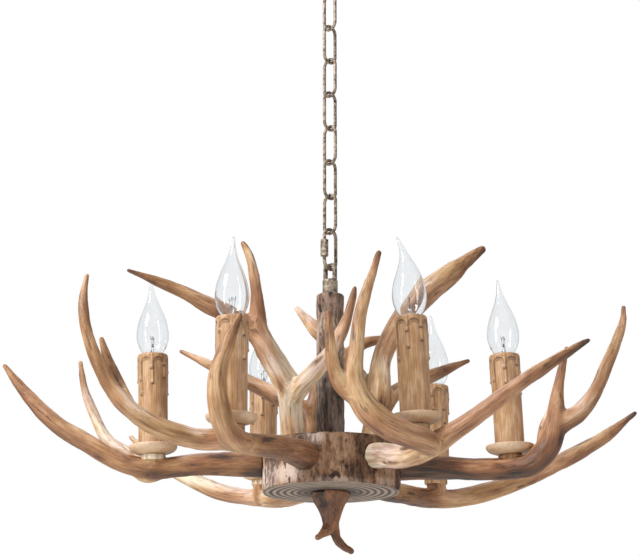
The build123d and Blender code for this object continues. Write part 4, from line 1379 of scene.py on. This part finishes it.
for pattern in (sleevePattern, panPattern, capPattern, stemPattern, wiresPattern):
    bpy.data.objects.remove(pattern)
print("candles made")


# chain

# top: from the upper end of the CAD model's link down to the centre of its wire. The quick link's wire is
# 0.15 mm thinner than there, so that it clears the shackle as the lamp twists
link = {"halfWidth": 8.25, "wire": 1.75, "length": 42.8, "top": 1.75}
quickLink = {"halfWidth": 8.5, "wire": 1.85, "length": 43.85, "top": 2.0}


# a ring whose upper and lower halves are drawn apart into a long link; its top wire centre is at the origin,
# and half a segment's turn keeps the vertices off the line where it parts
def buildLoop(name, size):
    segments = 48
    turn = math.pi / segments
    bpy.ops.mesh.primitive_torus_add(
        major_radius=size["halfWidth"] * mm, minor_radius=size["wire"] * mm, major_segments=segments,
        minor_segments=16, rotation=(math.pi / 2, 0, 0))
    piece = bpy.context.object
    piece.name = name
    bpy.ops.object.transform_apply(location=True, rotation=True, scale=False)
    piece.data.transform(Matrix.Rotation(turn, 4, "Y"))
    places = getVectors(piece.data)
    straight = (size["length"] - 2 * size["halfWidth"]) * mm / 2
    places[:, 2] += np.where(places[:, 2] > 0, straight, -straight) - size["length"] * mm / 2
    setPlaces(piece.data, places)
    return piece


def loopMatrix(height, turn):
    return Matrix.Translation((0, 0, height)) @ Matrix.Rotation(math.radians(turn), 4, "Z")


linkPattern = buildLoop("linkPattern", link)
for number in range(1, 9):
    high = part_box(f"chain_link_{number}")[1]
    matrix = loopMatrix(high.z - link["top"] * mm, 45 if number % 2 else -45)
    body, linkNodes = f"link_{number}", [f"chain_link_{number}"]
    placeCopy(linkPattern, f"chainLink{number}", matrix, agedMetal, body, linkNodes, "aged_metal", 60)
bpy.data.objects.remove(linkPattern)

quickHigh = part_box("quick_link")[1]
quick = buildLoop("quickLinkWire", quickLink)
quick.data.transform(loopMatrix(quickHigh.z - quickLink["top"] * mm, 45))
finishPiece(quick, agedMetal, "quick_link", ["quick_link"], "aged_metal", 60)
print("chain made")


# ceiling cup

cup = {
    "outline": [(59.9, 0), (59.9, -3.2), (59.3, -4.3), (57.6, -5.2), (56.4, -8.0), (53, -13), (47.5, -18),
                (40, -22.4), (31, -25.8), (22, -28), (15.5, -29.4), (5.4, -29.9)],
    "wall": 1.5, "edge": 0.3,
}


def buildCup():
    piece = turnProfile("ceilingCup", cup["outline"], 128)
    applyModifier(piece, "SOLIDIFY", thickness=cup["wall"] * mm, offset=-1)
    applyModifier(piece, "BEVEL", width=cup["edge"] * mm, segments=2, limit_method="ANGLE")
    finishPiece(piece, agedMetal, "ceiling", ["canopy"], "aged_metal", 50)


buildCup()

# CAD nodes that stay as they are, with their finishes
kept = {
    "canopy_bracket": zincMetal, "canopy_collar": agedMetal, "canopy_loop": agedMetal,
    "quick_link_sleeve": agedMetal, "shackle": agedMetal, "centre_tube": zincMetal, "tube_nuts": zincMetal,
    "terminal_block": socketMaterial, "arm_screws": zincMetal, "crown_screws": zincMetal,
    "candle_nipples": zincMetal, "lamp_sockets": socketMaterial,
}
for name, material in kept.items():
    for place in frame["nodes"][name].material_slots:
        place.material = material
print("ceiling cup and kept nodes finished")


# room, lights and camera

# light comes from all round, more from above than from below
room = {"floorSize": 12, "floorHeight": -1.35, "floorColour": (0.90, 0.90, 0.89, 1), "floorRoughness": 0.9,
        "light": 0.30, "lightRise": 0.28}
# each lamp: place, width, height and power; all look at the middle of the chandelier
lamps = {
    "keyLamp": ((-1.5, -1.1, 0.9), 0.8, 0.8, 50),
    "leftStrip": ((-1.7, -1.3, -0.5), 0.22, 1.5, 9),
    "rightStrip": ((1.7, -1.2, -0.4), 0.22, 1.5, 6),
    "backLamp": ((-0.5, 1.5, 1.5), 1.2, 1.2, 16),
}
lampTarget = Vector((0, 0, -0.55))
# the view of the photograph: tilt in degrees, focal length and picture's width in pixels
view = {"place": (-0.0107, -1.850, -0.945), "tilt": 105.8, "focalPixels": 1821, "widthPixels": 640,
        "sensor": 36}


def buildRoom():
    bpy.ops.mesh.primitive_plane_add(size=room["floorSize"], location=(0, 0, room["floorHeight"]))
    floor = bpy.context.object
    floor.name = "floor"
    material, nodes, links, shader = newMaterial("paleFloor")
    shader.inputs["Base Color"].default_value = room["floorColour"]
    shader.inputs["Roughness"].default_value = room["floorRoughness"]
    floor.data.materials.append(material)
    world = bpy.data.worlds.new("whiteRoom")
    bpy.context.scene.world = world
    world.use_nodes = True
    nodes, links = world.node_tree.nodes, world.node_tree.links
    plain = nodes["Background"]
    plain.inputs["Color"].default_value = (1.0, 1.0, 1.0, 1)
    direction = nodes.new("ShaderNodeTexCoord")
    apart = nodes.new("ShaderNodeSeparateXYZ")
    links.new(direction.outputs["Generated"], apart.inputs[0])
    strength = addMath(
        nodes, links, "MULTIPLY_ADD", apart.outputs["Z"], room["lightRise"], room["light"])
    links.new(strength, plain.inputs["Strength"])
    seen = nodes.new("ShaderNodeBackground")
    seen.inputs["Color"].default_value = (1, 1, 1, 1)
    seen.inputs["Strength"].default_value = 1.0
    # the camera and what is seen through glass get plain white behind the lamp
    rays = nodes.new("ShaderNodeLightPath")
    clear = addMath(
        nodes, links, "MAXIMUM", rays.outputs["Is Camera Ray"], rays.outputs["Is Transmission Ray"])
    choice = nodes.new("ShaderNodeMixShader")
    links.new(clear, choice.inputs[0])
    links.new(plain.outputs[0], choice.inputs[1])
    links.new(seen.outputs[0], choice.inputs[2])
    links.new(choice.outputs[0], nodes["World Output"].inputs["Surface"])


def addLamp(name, place, width, height, power):
    bpy.ops.object.light_add(type="AREA", location=place)
    lamp = bpy.context.object
    lamp.name = name
    lamp.data.shape = "RECTANGLE"
    lamp.data.size = width
    lamp.data.size_y = height
    lamp.data.energy = power
    lamp.rotation_euler = (lampTarget - Vector(place)).to_track_quat("-Z", "Y").to_euler()


def addCamera():
    bpy.ops.object.camera_add(location=view["place"], rotation=(math.radians(view["tilt"]), 0, 0))
    camera = bpy.context.object
    camera.data.lens = view["focalPixels"] / view["widthPixels"] * view["sensor"]
    camera.data.sensor_width = view["sensor"]
    bpy.context.scene.camera = camera


buildRoom()
for name, (place, width, height, power) in lamps.items():
    addLamp(name, place, width, height, power)
addCamera()
bpy.context.scene.view_settings.view_transform = "Standard"
print("room, lights and camera set")
